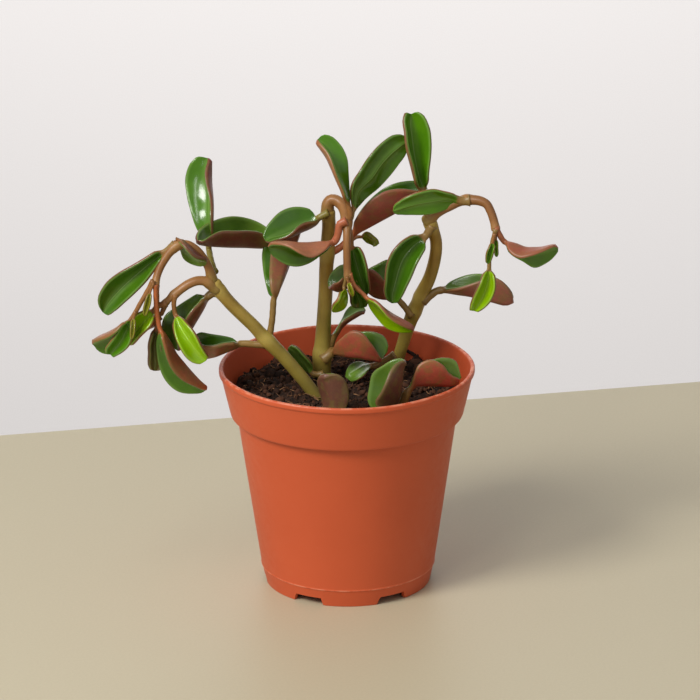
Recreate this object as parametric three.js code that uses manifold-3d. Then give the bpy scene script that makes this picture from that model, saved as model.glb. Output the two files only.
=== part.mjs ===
// Potted peperomia: a terracotta-coloured nursery pot, soil, three fleshy stems with
// their drooping side branches, and folded, boat-shaped succulent leaves.
// Millimetres, +Z up. Origin: centre of the pot's underside, on the surface it stands on.
import * as THREE from 'three';
import * as BufferGeometryUtils from 'three/addons/utils/BufferGeometryUtils.js';
import Module from 'manifold-3d';

// ---- driving dimensions -------------------------------------------------
const POT_HEIGHT = 93.2;          // rim top above the surface
const RIM_RADIUS = 52.5;          // outside of the rim
const COLLAR_BOTTOM_Z = 73.3;     // lower edge of the collar
const COLLAR_BOTTOM_RADIUS = 47.8;
const BODY_TOP_RADIUS = 45.5;
const SEAM_Z = 7.5;               // foot band seam
const SEAM_RADIUS = 36.0;
const FOOT_RADIUS = 34.4;
const WALL = 1.1;
const FLOOR_UNDER_Z = 3.0;        // underside of the pot floor, inside the foot ring
const FLOOR_TOP_Z = 4.6;
const PAD_RADIUS = 9.0;           // flat moulded pad at the centre of the underside
const NOTCH_COUNT = 6;            // drain notches in the foot ring
const NOTCH_FIRST_ANGLE = -90 - 28.5;
const NOTCH_WIDTH = 12.5;
const NOTCH_HEIGHT = 3.4;
const DRAIN_RADIUS = 4.2;
const DRAIN_CIRCLE = 26;
const SOIL_Z = 81.6;              // mean height of the soil surface
const SOIL_GAP = 0.35;            // soil to pot wall
const GAP = 0.33;                 // clearance kept between touching pieces
const POT_SEGMENTS = 48;
const STEM_SIDES = 8;
const CUT_STEM_SIDES = 10;

const wasm = await Module();
wasm.setup();

// ---- helpers --------------------------------------------------------------
const V = (p) => new THREE.Vector3(p[0], p[1], p[2]);

function toSolid(geometry) {
  let g = geometry.clone();
  g.deleteAttribute('normal');
  g.deleteAttribute('uv');
  g = BufferGeometryUtils.mergeVertices(g, 1e-4);
  return new wasm.Manifold(new wasm.Mesh({
    numProp: 3,
    vertProperties: new Float32Array(g.attributes.position.array),
    triVerts: new Uint32Array(g.index.array),
  }));
}

function toGeometry(solid) {
  const m = solid.getMesh();
  const g = new THREE.BufferGeometry();
  g.setAttribute('position', new THREE.BufferAttribute(new Float32Array(m.vertProperties), 3));
  g.setIndex(new THREE.BufferAttribute(new Uint32Array(m.triVerts), 1));
  g.computeVertexNormals();
  return g;
}

function largest(solid) {
  const parts = solid.decompose();
  let best = parts[0];
  for (const p of parts) if (p.volume() > best.volume()) best = p;
  return best;
}

// closed skin through a list of rings (each an array of Vector3, same length), capped at both ends
function loft(rings) {
  const n = rings[0].length;
  const pos = [];
  for (const r of rings) for (const p of r) pos.push(p.x, p.y, p.z);
  const idx = [];
  for (let i = 0; i < rings.length - 1; i++) {
    for (let j = 0; j < n; j++) {
      const a = i * n + j, b = i * n + (j + 1) % n, c = a + n, d = b + n;
      idx.push(a, b, d, a, d, c);
    }
  }
  // ends: strips across from one half of the section to the other, so a folded section stays whole
  const o = (rings.length - 1) * n;
  for (let lo = 0, hi = n; hi - lo > 2;) {
    idx.push(lo, hi - 1, lo + 1);
    idx.push(o + lo, o + lo + 1, o + hi - 1);
    lo += 1; hi -= 1;
    if (hi - lo < 2) break;
    idx.push(lo, hi, hi - 1);
    idx.push(o + lo, o + hi - 1, o + hi);
  }
  const g = new THREE.BufferGeometry();
  g.setAttribute('position', new THREE.Float32BufferAttribute(pos, 3));
  g.setIndex(idx);
  return g;
}

function signedVolume(g) {
  const p = g.attributes.position, ix = g.index.array;
  let v = 0;
  const a = new THREE.Vector3(), b = new THREE.Vector3(), c = new THREE.Vector3();
  for (let i = 0; i < ix.length; i += 3) {
    a.fromBufferAttribute(p, ix[i]); b.fromBufferAttribute(p, ix[i + 1]); c.fromBufferAttribute(p, ix[i + 2]);
    v += a.dot(b.clone().cross(c)) / 6;
  }
  return v;
}

function outward(g) {
  if (signedVolume(g) < 0) {
    const ix = Array.from(g.index.array);
    for (let i = 0; i < ix.length; i += 3) { const t = ix[i + 1]; ix[i + 1] = ix[i + 2]; ix[i + 2] = t; }
    g.setIndex(ix);
  }
  return g;
}

// round tube through points [x, y, z, radius], with parallel-transported rings
function tube(points, sides, grow = 0, extend = 0) {
  const P = points.map(V);
  const n = P.length;
  const T = P.map((p, i) => P[Math.min(i + 1, n - 1)].clone().sub(P[Math.max(i - 1, 0)]).normalize());
  if (extend) { P[0].addScaledVector(T[0], -extend); P[n - 1].addScaledVector(T[n - 1], extend); }
  let ref = Math.abs(T[0].z) < 0.9 ? new THREE.Vector3(0, 0, 1) : new THREE.Vector3(0, 1, 0);
  const rings = [];
  for (let i = 0; i < n; i++) {
    const u = ref.clone().addScaledVector(T[i], -ref.dot(T[i])).normalize();
    ref = u;
    const w = T[i].clone().cross(u);
    const r = points[i][3] + grow;
    const ring = [];
    for (let j = 0; j < sides; j++) {
      const a = 2 * Math.PI * j / sides;
      ring.push(P[i].clone().addScaledVector(u, r * Math.cos(a)).addScaledVector(w, r * Math.sin(a)));
    }
    rings.push(ring);
  }
  return outward(loft(rings));
}

// One leaf: a round petiole that opens into a blade folded along its midrib.
// K is the midrib, A and B are the two margins; the inner faces run K-A and K-B and the
// thickness th is laid on the outer side. Section ring: margin A, inner A, midrib, inner B,
// margin B, outer B, keel, outer A.
function leafRings(L, grow = 0) {
  const K = L.K.map(V), A = L.A.map(V), B = L.B.map(V), n = K.length;
  const mid = Math.floor(n / 2);
  const T = K.map((p, i) => K[Math.min(i + 1, n - 1)].clone().sub(K[Math.max(i - 1, 0)]).normalize());
  const na0 = T[mid].clone().cross(A[mid].clone().sub(K[mid]));
  const sgnA = na0.dot(B[mid].clone().sub(K[mid])) > 0 ? 1 : -1;
  const nb0 = T[mid].clone().cross(B[mid].clone().sub(K[mid]));
  const sgnB = nb0.dot(A[mid].clone().sub(K[mid])) > 0 ? 1 : -1;
  // face normals, towards the inner side, kept from flipping between one section and the next
  const NA = T.map((t, i) => t.clone().cross(A[i].clone().sub(K[i])).multiplyScalar(sgnA).normalize());
  const NB = T.map((t, i) => t.clone().cross(B[i].clone().sub(K[i])).multiplyScalar(sgnB).normalize());
  for (const N of [NA, NB]) {
    for (let i = mid + 1; i < n; i++) if (N[i].dot(N[i - 1]) < 0) N[i].negate();
    for (let i = mid - 1; i > 0; i--) if (N[i].dot(N[i + 1]) < 0) N[i].negate();
  }
  const rings = [];
  const petiole = L.P.map(V);
  const baseT = K[1].clone().sub(K[0]).normalize();
  const latBase = A[2].clone().sub(B[2]);
  const centres = petiole.concat([K[0].clone()]);
  for (let i = 0; i < centres.length; i++) {
    const t = (i < centres.length - 1 ? centres[i + 1].clone().sub(centres[Math.max(i - 1, 0)]) : baseT.clone().add(centres[i].clone().sub(centres[Math.max(i - 1, 0)]).normalize())).normalize();
    const lat = latBase.clone().addScaledVector(t, -latBase.dot(t)).normalize();
    let up = t.clone().cross(lat);
    const inward = A[2].clone().add(B[2]).addScaledVector(K[2], -2);
    if (up.dot(inward) < 0) up = up.multiplyScalar(-1);
    const r = L.r + grow;
    const ring = [];
    for (let j = 0; j < 8; j++) {
      const a = Math.PI * j / 4;
      ring.push(centres[i].clone().addScaledVector(lat, r * Math.cos(a)).addScaledVector(up, r * Math.sin(a)));
    }
    rings.push(ring);
  }
  for (let i = 1; i < n - 1; i++) {
    const ak = A[i].clone().sub(K[i]), bk = B[i].clone().sub(K[i]);
    const nA = NA[i], nB = NB[i];
    const bis = nA.clone().add(nB).normalize();
    const wa = ak.length(), wb = bk.length();
    const th = Math.min(L.th, 0.5 * Math.min(wa, wb) + 0.4);
    const g = grow;
    const A1 = A[i].clone().addScaledVector(ak.clone().normalize(), g);
    const B1 = B[i].clone().addScaledVector(bk.clone().normalize(), g);
    const bulgeA = 0.07 * wa, bulgeB = 0.07 * wb;
    const Ai = K[i].clone().addScaledVector(ak, 0.55).addScaledVector(nA, -bulgeA + g);
    const Bi = K[i].clone().addScaledVector(bk, 0.55).addScaledVector(nB, -bulgeB + g);
    const Ao = K[i].clone().addScaledVector(ak, 0.55).addScaledVector(nA, -bulgeA - th - g);
    const Bo = K[i].clone().addScaledVector(bk, 0.55).addScaledVector(nB, -bulgeB - th - g);
    const Ki = K[i].clone().addScaledVector(bis, g);
    const Ko = K[i].clone().addScaledVector(bis, -th * 1.25 - g);
    rings.push([A1, Ai, Ki, Bi, B1, Bo, Ko, Ao]);
  }
  // the tip: the last section, drawn in around the blade's end
  const lastRing = rings[rings.length - 1], e = n - 1;
  const from = lastRing.reduce((s, p) => s.add(p), new THREE.Vector3()).multiplyScalar(1 / 8);
  const to = K[e].clone().add(A[e]).add(B[e]).multiplyScalar(1 / 3);
  const width = (j) => A[j].distanceTo(K[j]) + B[j].distanceTo(K[j]);
  const shrink = Math.min(0.5, width(e) / width(e - 1));
  rings.push(lastRing.map((p) => p.clone().sub(from).multiplyScalar(shrink).add(to)));
  return rings;
}
const leafGeometry = (L, grow = 0) => outward(loft(leafRings(L, grow)));

// ---- stems and side branches: centre-line points [x, y, z, radius] ----
const STEMS = [
  { name: 'stem_centre', pts: [[-9.98, 15.0, 76.07, 3.9], [-10.34, 15.0, 82.25, 3.9], [-10.06, 15.0, 92.38, 3.8], [-9.56, 15.0, 103.34, 3.19], [-9.08, 15.0, 112.07, 2.98], [-8.6, 15.0, 120.78, 2.92], [-8.32, 14.5, 129.63, 2.88], [-7.86, 14.0, 135.85, 2.88], [-7.4, 13.5, 142.92, 2.77], [-6.94, 13.0, 149.53, 2.77], [-7.3, 12.0, 155.43, 2.67]] },
  { name: 'branch_centre', pts: [[-7.5, 12.0, 156.29, 2.36], [-7.27, 12.0, 158.86, 2.36], [-6.03, 12.0, 160.48, 2.26], [-4.19, 11.5, 160.58, 2.18], [-1.95, 10.0, 159.45, 2.18], [-0.26, 6.0, 157.28, 2.18], [0.25, 1.0, 154.59, 2.14], [0.44, -2.0, 152.56, 1.64], [0.33, -4.0, 148.51, 1.44], [0.37, -5.0, 142.43, 1.44], [0.54, -5.5, 136.17, 1.44], [0.72, -5.8, 133.27, 1.36]] },
  { name: 'stem_left', pts: [[-10.32, -4.0, 75.93, 2.67], [-12.34, -4.0, 79.88, 2.67], [-16.0, -4.0, 85.59, 2.67], [-20.86, -4.5, 92.34, 2.67], [-26.1, -5.5, 99.25, 2.75], [-31.34, -6.5, 105.27, 2.96], [-34.17, -6.5, 108.32, 2.79], [-37.79, -6.5, 112.67, 2.71], [-42.21, -6.8, 117.33, 2.71], [-46.63, -7.0, 121.95, 2.71], [-50.61, -7.5, 126.87, 2.71], [-53.79, -8.0, 131.35, 2.67]] },
  { name: 'branch_left_upper', pts: [[-54.93, -8.5, 134.95, 1.95], [-55.68, -9.0, 138.12, 1.69], [-57.98, -10.5, 143.32, 1.64], [-61.1, -12.0, 147.74, 1.6], [-64.66, -13.0, 150.13, 1.54], [-67.89, -13.5, 149.68, 1.64], [-70.33, -14.0, 147.94, 1.6], [-73.2, -14.8, 144.4, 1.52], [-75.25, -15.8, 140.91, 1.48], [-76.57, -17.0, 137.48, 1.44], [-77.19, -18.0, 134.84, 1.44]] },
  { name: 'branch_left_lower', pts: [[-54.16, -9.5, 130.57, 1.85], [-56.93, -10.5, 133.28, 1.77], [-60.16, -11.0, 133.76, 1.75], [-63.41, -11.5, 132.79, 1.73], [-66.67, -12.0, 130.84, 1.69], [-69.52, -12.8, 128.78, 1.64], [-72.39, -13.3, 126.39, 1.23], [-74.86, -13.5, 124.33, 1.13]] },
  { name: 'stem_right', pts: [[18.82, 25.0, 74.94, 2.67], [19.87, 24.0, 79.73, 2.57], [21.75, 23.0, 88.92, 2.47], [23.83, 22.0, 96.31, 2.57], [25.91, 21.0, 103.23, 2.77], [28.38, 19.5, 110.3, 2.92], [30.23, 18.5, 115.0, 2.88], [31.87, 17.5, 119.68, 2.79], [33.91, 16.5, 124.36, 2.67], [35.33, 15.5, 129.02, 2.59], [36.34, 14.5, 133.67, 2.55], [36.93, 13.5, 138.32, 2.51], [36.83, 12.5, 142.96, 2.47], [35.65, 11.0, 147.75, 2.57], [34.4, 10.0, 151.51, 2.67]] },
  { name: 'branch_right', pts: [[34.8, 9.5, 153.38, 2.36], [36.42, 9.0, 155.03, 2.05], [39.27, 8.5, 157.09, 1.85], [42.52, 8.0, 158.94, 1.85], [45.77, 7.5, 160.79, 1.89], [48.2, 7.0, 161.78, 1.97], [51.43, 6.0, 162.16, 1.91], [54.66, 5.0, 162.02, 1.85], [57.28, 4.0, 160.95, 1.69], [58.89, 3.0, 158.27, 1.6], [60.17, 2.0, 154.74, 1.6], [61.01, 1.0, 151.21, 1.52]] },
];

// ---- leaves: petiole points P, petiole radius r, thickness th, midrib K, margins A and B ----
const LEAVES = [
  { name: 'leaf_left_mid', r: 1.1, th: 1.5,
    P: [[-9.89, 14.0, 138.89], [-18.92, 14.0, 139.6], [-25.08, 14.0, 139.85]],
    K: [[-29.19, 14.0, 140.2], [-31.898, 14.705, 140.557], [-36.102, 14.584, 140.581], [-41.333, 12.797, 141.392], [-46.804, 8.229, 142.983], [-52.213, 3.02, 144.961], [-57.08, -3.83, 147.841], [-59.294, -8.56, 150.121]],
    A: [[-29.17, 14.0, 141.6], [-31.279, 10.251, 145.087], [-34.809, 8.005, 148.335], [-39.965, 5.167, 150.738], [-45.505, 0.653, 151.933], [-51.026, -3.449, 152.484], [-55.793, -7.72, 151.651], [-58.377, -10.41, 151.081]],
    B: [[-29.15, 14.0, 143.76], [-31.089, 16.534, 146.142], [-34.948, 17.282, 149.147], [-40.768, 15.721, 152.054], [-47.191, 10.837, 154.246], [-53.41, 5.32, 154.251], [-58.406, -2.22, 153.311], [-59.873, -7.68, 151.861]] },
  { name: 'leaf_left_arch_small', r: 1.0, th: 1.5,
    P: [[-68.72, -12.5, 150.42]],
    K: [[-68.32, -12.5, 151.92], [-67.2, -13.29, 151.03], [-65.71, -13.71, 149.92], [-63.97, -14.02, 148.33], [-62.04, -14.31, 146.42], [-59.95, -14.54, 144.61], [-57.8, -14.49, 143.31], [-56.64, -14.26, 142.78]],
    A: [[-68.5, -12.5, 151.27], [-67.37, -16.64, 151.53], [-66.06, -18.84, 150.56], [-64.58, -20.1, 148.84], [-62.53, -20.21, 147.12], [-60.24, -19.27, 145.49], [-57.94, -17.37, 144.05], [-56.66, -15.7, 143.04]],
    B: [[-68.32, -12.5, 149.99], [-67.7, -10.02, 147.69], [-66.99, -9.0, 145.07], [-66.09, -8.65, 142.16], [-63.95, -9.0, 139.98], [-61.11, -9.99, 139.26], [-58.17, -11.55, 139.8], [-56.75, -12.81, 141.05]] },
  { name: 'leaf_left_upright', r: 1.25, th: 1.5,
    P: [[-53.82, -4.0, 136.03], [-55.354, 2.719, 138.817]],
    K: [[-56.03, 6.937, 140.769], [-56.554, 7.11, 144.547], [-56.464, 8.33, 149.287], [-56.021, 10.94, 154.857], [-56.021, 15.46, 160.257], [-56.464, 19.0, 166.007], [-56.424, 21.27, 171.767], [-56.454, 22.42, 174.687]],
    A: [[-56.03, 6.937, 140.769], [-55.639, 2.89, 145.637], [-55.347, 2.11, 151.027], [-55.518, 3.54, 156.887], [-56.313, 8.2, 162.107], [-57.771, 13.06, 167.147], [-57.983, 17.72, 172.037], [-57.118, 20.69, 174.547]],
    B: [[-56.836, 7.0, 141.607], [-58.797, 8.75, 144.657], [-61.493, 10.81, 149.297], [-63.605, 13.66, 155.397], [-65.425, 18.12, 161.617], [-65.868, 21.27, 168.417], [-62.85, 22.87, 174.557], [-59.3, 23.25, 176.137]] },
  { name: 'leaf_centre_left_upper', r: 1.3, th: 1.5,
    P: [[-8.1, 8.0, 155.84], [-9.74, 8.0, 155.0]],
    K: [[-10.97, 8.0, 154.31], [-12.28, 6.94, 153.5], [-14.94, 6.24, 151.85], [-18.59, 5.17, 150.59], [-22.48, 3.85, 149.28], [-26.5, 2.27, 148.44], [-30.47, 0.54, 148.13], [-32.3, -0.09, 147.45]],
    A: [[-10.97, 8.0, 155.01], [-12.64, 2.18, 155.45], [-15.66, -1.15, 155.71], [-19.17, -3.5, 154.87], [-22.49, -4.57, 152.7], [-26.05, -4.52, 150.58], [-29.7, -3.37, 148.83], [-31.83, -2.01, 147.82]],
    B: [[-10.96, 8.0, 156.29], [-13.42, 8.74, 157.34], [-17.15, 8.58, 158.73], [-22.01, 7.83, 159.03], [-26.79, 6.53, 157.46], [-30.5, 4.67, 154.33], [-33.23, 2.39, 150.81], [-33.74, 0.85, 148.55]] },
  { name: 'leaf_left_fork_upright', r: 1.3, th: 1.5,
    P: [[-31.33, -5.0, 108.65], [-30.21, -5.0, 116.42], [-29.97, -5.0, 119.87]],
    K: [[-29.75, -5.0, 122.92], [-29.08, -4.8, 125.89], [-27.448, -3.472, 130.062], [-25.37, 1.804, 133.893], [-23.238, 8.463, 137.575], [-21.14, 11.32, 142.588], [-19.592, 12.41, 147.958], [-20.024, 12.84, 151.128]],
    A: [[-30.75, -5.0, 122.46], [-31.08, -6.37, 126.48], [-31.522, -5.113, 131.179], [-31.368, 1.011, 135.392], [-30.861, 6.743, 140.123], [-29.021, 8.99, 145.888], [-25.583, 10.96, 150.358], [-22.96, 12.14, 152.268]],
    B: [[-31.18, -5.0, 120.74], [-31.94, -3.5, 124.24], [-33.085, -1.907, 129.458], [-34.193, 4.578, 134.376], [-34.368, 11.526, 139.667], [-31.635, 13.01, 146.228], [-26.76, 13.48, 151.198], [-23.261, 13.39, 152.978]] },
  { name: 'leaf_centre_drooping', r: 1.5, th: 1.5,
    P: [[-0.76, -3.0, 155.87], [-2.39, -3.0, 155.03], [-2.98, -3.0, 152.05], [-3.73, -3.0, 149.07]],
    K: [[-4.81, -3.0, 147.34], [-7.02, -4.63, 146.66], [-10.57, -5.76, 146.98], [-15.0, -7.0, 147.06], [-19.71, -8.43, 147.55], [-24.35, -8.87, 148.0], [-28.73, -8.0, 147.56], [-30.96, -6.79, 146.69]],
    A: [[-4.48, -3.0, 146.72], [-6.51, -8.44, 146.62], [-9.41, -11.82, 144.98], [-13.74, -14.17, 143.97], [-18.6, -15.29, 146.03], [-23.19, -14.29, 148.07], [-27.9, -11.15, 148.18], [-30.64, -8.32, 147.3]],
    B: [[-4.89, -3.0, 146.08], [-6.82, -2.45, 143.68], [-10.0, -2.93, 141.03], [-14.2, -3.82, 138.4], [-19.45, -5.14, 137.5], [-24.73, -5.89, 138.74], [-29.09, -5.89, 141.44], [-30.92, -5.7, 143.64]] },
  { name: 'leaf_left_big', r: 1.5, th: 1.5,
    P: [[-69.93, -13.0, 149.31]],
    K: [[-72.4, -13.0, 147.21], [-75.09, -12.73, 145.1], [-79.01, -12.38, 142.13], [-83.57, -12.08, 138.14], [-88.33, -12.0, 133.86], [-92.83, -12.0, 129.3], [-96.71, -12.0, 124.62], [-98.48, -12.0, 121.67]],
    A: [[-72.77, -13.0, 148.02], [-76.04, -15.37, 147.31], [-80.61, -16.3, 144.89], [-86.26, -16.63, 141.62], [-92.21, -16.46, 137.81], [-97.62, -15.69, 132.89], [-100.63, -14.31, 126.4], [-99.73, -13.15, 122.39]],
    B: [[-72.36, -13.0, 147.29], [-74.62, -15.76, 145.64], [-77.4, -16.87, 141.79], [-81.1, -17.31, 136.94], [-85.48, -17.12, 131.9], [-90.07, -16.24, 126.78], [-94.71, -14.66, 122.03], [-97.93, -13.32, 120.2]] },
  { name: 'leaf_left_tip_back', r: 0.9, th: 1.5,
    P: [[-78.93, -18.0, 134.64], [-81.45, -18.0, 130.17], [-83.98, -18.0, 125.49], [-86.09, -18.0, 121.65]],
    K: [[-87.55, -18.0, 119.72], [-88.47, -18.53, 117.61], [-90.28, -18.53, 115.93], [-93.06, -18.2, 114.45], [-96.04, -17.92, 112.75], [-99.18, -17.54, 111.29], [-101.8, -17.06, 109.51], [-102.96, -16.42, 108.66]],
    A: [[-87.56, -18.0, 119.31], [-88.49, -22.76, 119.7], [-90.13, -24.89, 118.7], [-92.21, -25.77, 116.84], [-95.02, -25.26, 115.12], [-97.85, -23.48, 112.86], [-100.7, -20.58, 110.53], [-102.46, -18.22, 109.29]],
    B: [[-87.57, -18.0, 118.66], [-88.29, -15.85, 115.61], [-89.46, -14.63, 111.95], [-91.51, -13.83, 107.96], [-94.25, -13.56, 104.3], [-98.2, -13.8, 102.84], [-101.59, -14.51, 104.92], [-102.73, -15.2, 107.17]] },
  { name: 'leaf_left_tip_front', r: 0.95, th: 1.5,
    P: [[-78.44, -19.5, 135.77], [-80.96, -19.5, 131.1], [-83.48, -19.5, 126.85], [-85.8, -19.5, 122.59]],
    K: [[-87.06, -19.5, 120.67], [-87.61, -19.9, 119.3], [-88.5, -20.43, 117.34], [-89.76, -20.88, 114.94], [-91.07, -21.0, 112.23], [-92.78, -21.0, 109.74], [-94.55, -21.0, 107.51], [-95.52, -21.0, 106.23]],
    A: [[-87.64, -19.5, 120.47], [-88.59, -22.14, 120.0], [-90.09, -23.75, 118.58], [-91.97, -24.75, 116.49], [-93.92, -24.79, 113.81], [-95.86, -24.14, 110.87], [-97.45, -22.97, 107.63], [-96.94, -21.98, 105.92]],
    B: [[-86.4, -19.5, 120.67], [-86.18, -22.02, 119.65], [-86.36, -23.57, 117.48], [-87.28, -24.54, 114.6], [-88.58, -24.59, 111.3], [-90.94, -23.97, 108.45], [-93.63, -22.86, 106.17], [-95.37, -21.93, 105.22]] },
  { name: 'leaf_left_lower_end', r: 1.2, th: 1.5,
    P: [[-74.02, -14.0, 124.93], [-76.47, -14.0, 124.09]],
    K: [[-78.13, -14.0, 122.17], [-79.22, -14.13, 120.93], [-80.79, -14.31, 119.14], [-82.71, -14.46, 116.9], [-84.73, -14.5, 114.45], [-86.63, -14.5, 111.87], [-88.25, -14.5, 109.32], [-89.12, -14.5, 107.85]],
    A: [[-78.89, -14.0, 123.28], [-80.29, -16.79, 123.19], [-82.51, -18.25, 122.34], [-85.34, -19.04, 121.05], [-87.56, -18.99, 118.26], [-89.01, -18.22, 114.68], [-89.96, -16.83, 110.91], [-89.91, -15.66, 108.61]],
    B: [[-77.77, -14.0, 121.14], [-78.39, -17.29, 120.86], [-79.44, -19.0, 119.42], [-80.86, -19.92, 117.28], [-82.78, -19.85, 114.96], [-84.96, -18.93, 112.53], [-86.96, -17.27, 109.88], [-88.17, -15.88, 108.28]] },
  { name: 'leaf_left_lower_outer', r: 1.0, th: 1.5,
    P: [[-73.27, -12.5, 124.41], [-74.33, -12.5, 122.28]],
    K: [[-75.17, -12.5, 120.24], [-76.03, -11.67, 120.05], [-76.87, -11.18, 118.77], [-77.79, -10.72, 116.95], [-79.13, -10.16, 115.49], [-80.72, -9.54, 114.54], [-82.2, -9.11, 113.73], [-82.92, -8.91, 113.65]],
    A: [[-75.77, -12.5, 121.64], [-76.45, -15.34, 122.24], [-77.53, -16.46, 122.02], [-78.75, -16.71, 121.14], [-79.94, -16.03, 119.64], [-81.2, -14.49, 117.87], [-82.4, -12.22, 115.92], [-83.03, -10.48, 114.58]],
    B: [[-74.98, -12.5, 120.35], [-75.72, -8.64, 118.34], [-76.67, -6.51, 116.64], [-77.9, -5.13, 115.09], [-79.28, -4.68, 113.96], [-80.72, -5.1, 113.3], [-82.07, -6.34, 113.05], [-82.81, -7.55, 113.1]] },
  { name: 'bud_left_tip', r: 0.55, th: 0.8,
    P: [[-78.24, -20.0, 134.87], [-78.87, -20.0, 133.39]],
    K: [[-79.3, -20.0, 132.11], [-79.51, -20.18, 131.25], [-79.82, -20.44, 130.01], [-80.19, -20.76, 128.49], [-80.58, -21.1, 126.86], [-80.97, -21.44, 125.24], [-81.33, -21.76, 123.71], [-81.54, -21.94, 122.85]],
    A: [[-79.55, -20.0, 131.7], [-79.8, -21.06, 131.24], [-80.21, -21.74, 130.28], [-80.73, -22.28, 128.99], [-81.28, -22.59, 127.52], [-81.69, -22.67, 125.94], [-81.85, -22.53, 124.34], [-81.89, -22.32, 123.38]],
    B: [[-79.08, -20.0, 131.7], [-79.12, -21.07, 131.17], [-79.23, -21.77, 130.12], [-79.44, -22.3, 128.73], [-79.76, -22.61, 127.18], [-80.23, -22.69, 125.58], [-80.8, -22.54, 124.05], [-81.16, -22.33, 123.15]] },
  { name: 'bud_left_front', r: 0.5, th: 0.7,
    P: [[-85.7, -21.5, 123.06]],
    K: [[-86.1, -21.5, 121.57], [-86.19, -22.03, 120.94], [-86.31, -22.74, 120.02], [-86.39, -23.51, 118.84], [-86.44, -24.18, 117.54], [-86.56, -24.77, 116.21], [-86.78, -25.23, 114.94], [-86.93, -25.44, 114.21]],
    A: [[-86.33, -21.5, 121.36], [-86.51, -22.74, 121.06], [-86.75, -23.79, 120.36], [-86.9, -24.74, 119.36], [-86.92, -25.39, 118.15], [-86.93, -25.76, 116.83], [-86.99, -25.85, 115.51], [-87.05, -25.75, 114.72]],
    B: [[-85.86, -21.5, 121.56], [-85.79, -22.73, 121.18], [-85.73, -23.78, 120.38], [-85.71, -24.72, 119.27], [-85.79, -25.38, 117.97], [-86.05, -25.75, 116.61], [-86.45, -25.84, 115.27], [-86.71, -25.75, 114.47]] },
  { name: 'leaf_left_drooping', r: 0.95, th: 1.5,
    P: [[-77.09, -19.0, 133.89], [-77.08, -19.0, 128.35], [-76.71, -19.0, 122.36], [-76.14, -19.0, 118.5]],
    K: [[-75.82, -19.0, 116.64], [-75.08, -18.97, 113.63], [-72.97, -17.8, 109.48], [-70.65, -16.35, 104.12], [-67.24, -14.79, 98.99], [-63.72, -13.25, 93.91], [-60.33, -11.78, 89.25], [-58.29, -10.62, 86.96]],
    A: [[-76.19, -19.0, 116.36], [-75.73, -22.95, 114.47], [-74.99, -24.09, 110.2], [-73.6, -23.81, 104.5], [-70.75, -22.11, 98.59], [-66.65, -19.19, 93.29], [-61.98, -15.26, 89.11], [-59.19, -12.35, 86.86]],
    B: [[-76.84, -19.0, 115.94], [-77.42, -17.0, 111.44], [-77.66, -15.26, 105.27], [-76.88, -13.53, 97.89], [-74.07, -12.04, 90.83], [-68.94, -10.85, 85.76], [-62.6, -10.04, 84.29], [-59.04, -9.75, 84.85]] },
  { name: 'leaf_left_drooping_back', r: 0.95, th: 1.5,
    P: [[-76.85, -13.0, 131.46], [-76.82, -13.0, 124.61], [-76.95, -13.0, 118.6]],
    K: [[-77.28, -13.0, 114.3], [-77.58, -12.46, 112.46], [-77.97, -11.68, 109.8], [-78.29, -10.72, 106.49], [-78.46, -9.7, 102.96], [-78.51, -8.68, 99.42], [-78.48, -7.72, 96.08], [-78.75, -7.18, 94.22]],
    A: [[-77.76, -13.0, 113.89], [-78.15, -15.67, 113.16], [-78.75, -16.44, 111.01], [-79.21, -16.26, 107.89], [-79.46, -15.13, 104.21], [-80.22, -13.17, 100.3], [-80.24, -10.54, 96.32], [-79.39, -8.58, 94.24]],
    B: [[-76.9, -13.0, 113.47], [-76.62, -15.58, 112.68], [-76.35, -16.31, 110.51], [-76.14, -16.11, 107.47], [-76.02, -14.98, 103.91], [-75.96, -13.05, 99.95], [-76.63, -10.46, 96.13], [-77.61, -8.54, 94.03]] },
  { name: 'leaf_left_bright', r: 0.95, th: 1.5,
    P: [[-69.56, -14.5, 127.85], [-70.01, -14.5, 125.5], [-69.9, -14.5, 122.93]],
    K: [[-69.53, -14.5, 120.78], [-68.85, -16.25, 119.29], [-67.68, -18.46, 117.12], [-65.8, -20.56, 114.47], [-63.58, -22.46, 111.7], [-61.29, -23.0, 108.56], [-58.98, -23.0, 105.55], [-57.56, -23.0, 103.97]],
    A: [[-69.7, -14.5, 120.37], [-69.56, -18.81, 119.35], [-69.25, -22.27, 116.95], [-68.43, -24.99, 113.54], [-66.71, -26.8, 109.82], [-64.17, -26.59, 105.92], [-60.75, -25.25, 103.17], [-58.49, -24.12, 102.87]],
    B: [[-69.14, -14.5, 120.98], [-67.56, -19.62, 121.09], [-65.66, -23.47, 119.87], [-63.45, -26.39, 117.68], [-61.18, -28.18, 114.9], [-59.17, -27.73, 111.22], [-57.42, -25.96, 107.2], [-56.63, -24.47, 104.7]] },
  { name: 'leaf_left_under', r: 1.6, th: 1.5,
    P: [[-53.47, -7.0, 127.15], [-54.7, -7.0, 126.95]],
    K: [[-56.28, -7.0, 125.81], [-57.88, -7.75, 124.64], [-59.55, -8.07, 121.4], [-61.71, -8.45, 117.64], [-64.07, -8.82, 113.74], [-66.37, -9.16, 109.75], [-68.55, -9.44, 106.05], [-68.93, -9.2, 103.7]],
    A: [[-56.74, -7.0, 126.4], [-58.75, -13.5, 127.59], [-60.81, -16.82, 125.99], [-63.22, -18.68, 122.97], [-65.9, -18.8, 119.2], [-67.95, -17.29, 114.39], [-69.09, -14.31, 109.02], [-69.12, -11.7, 105.59]],
    B: [[-56.72, -7.0, 127.6], [-60.09, -5.83, 126.95], [-64.42, -5.43, 124.4], [-69.43, -5.43, 120.98], [-74.44, -5.81, 116.97], [-75.5, -6.55, 110.85], [-72.65, -7.57, 105.65], [-70.38, -8.35, 103.31]] },
  { name: 'leaf_left_fork_low', r: 1.4, th: 1.5,
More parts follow.
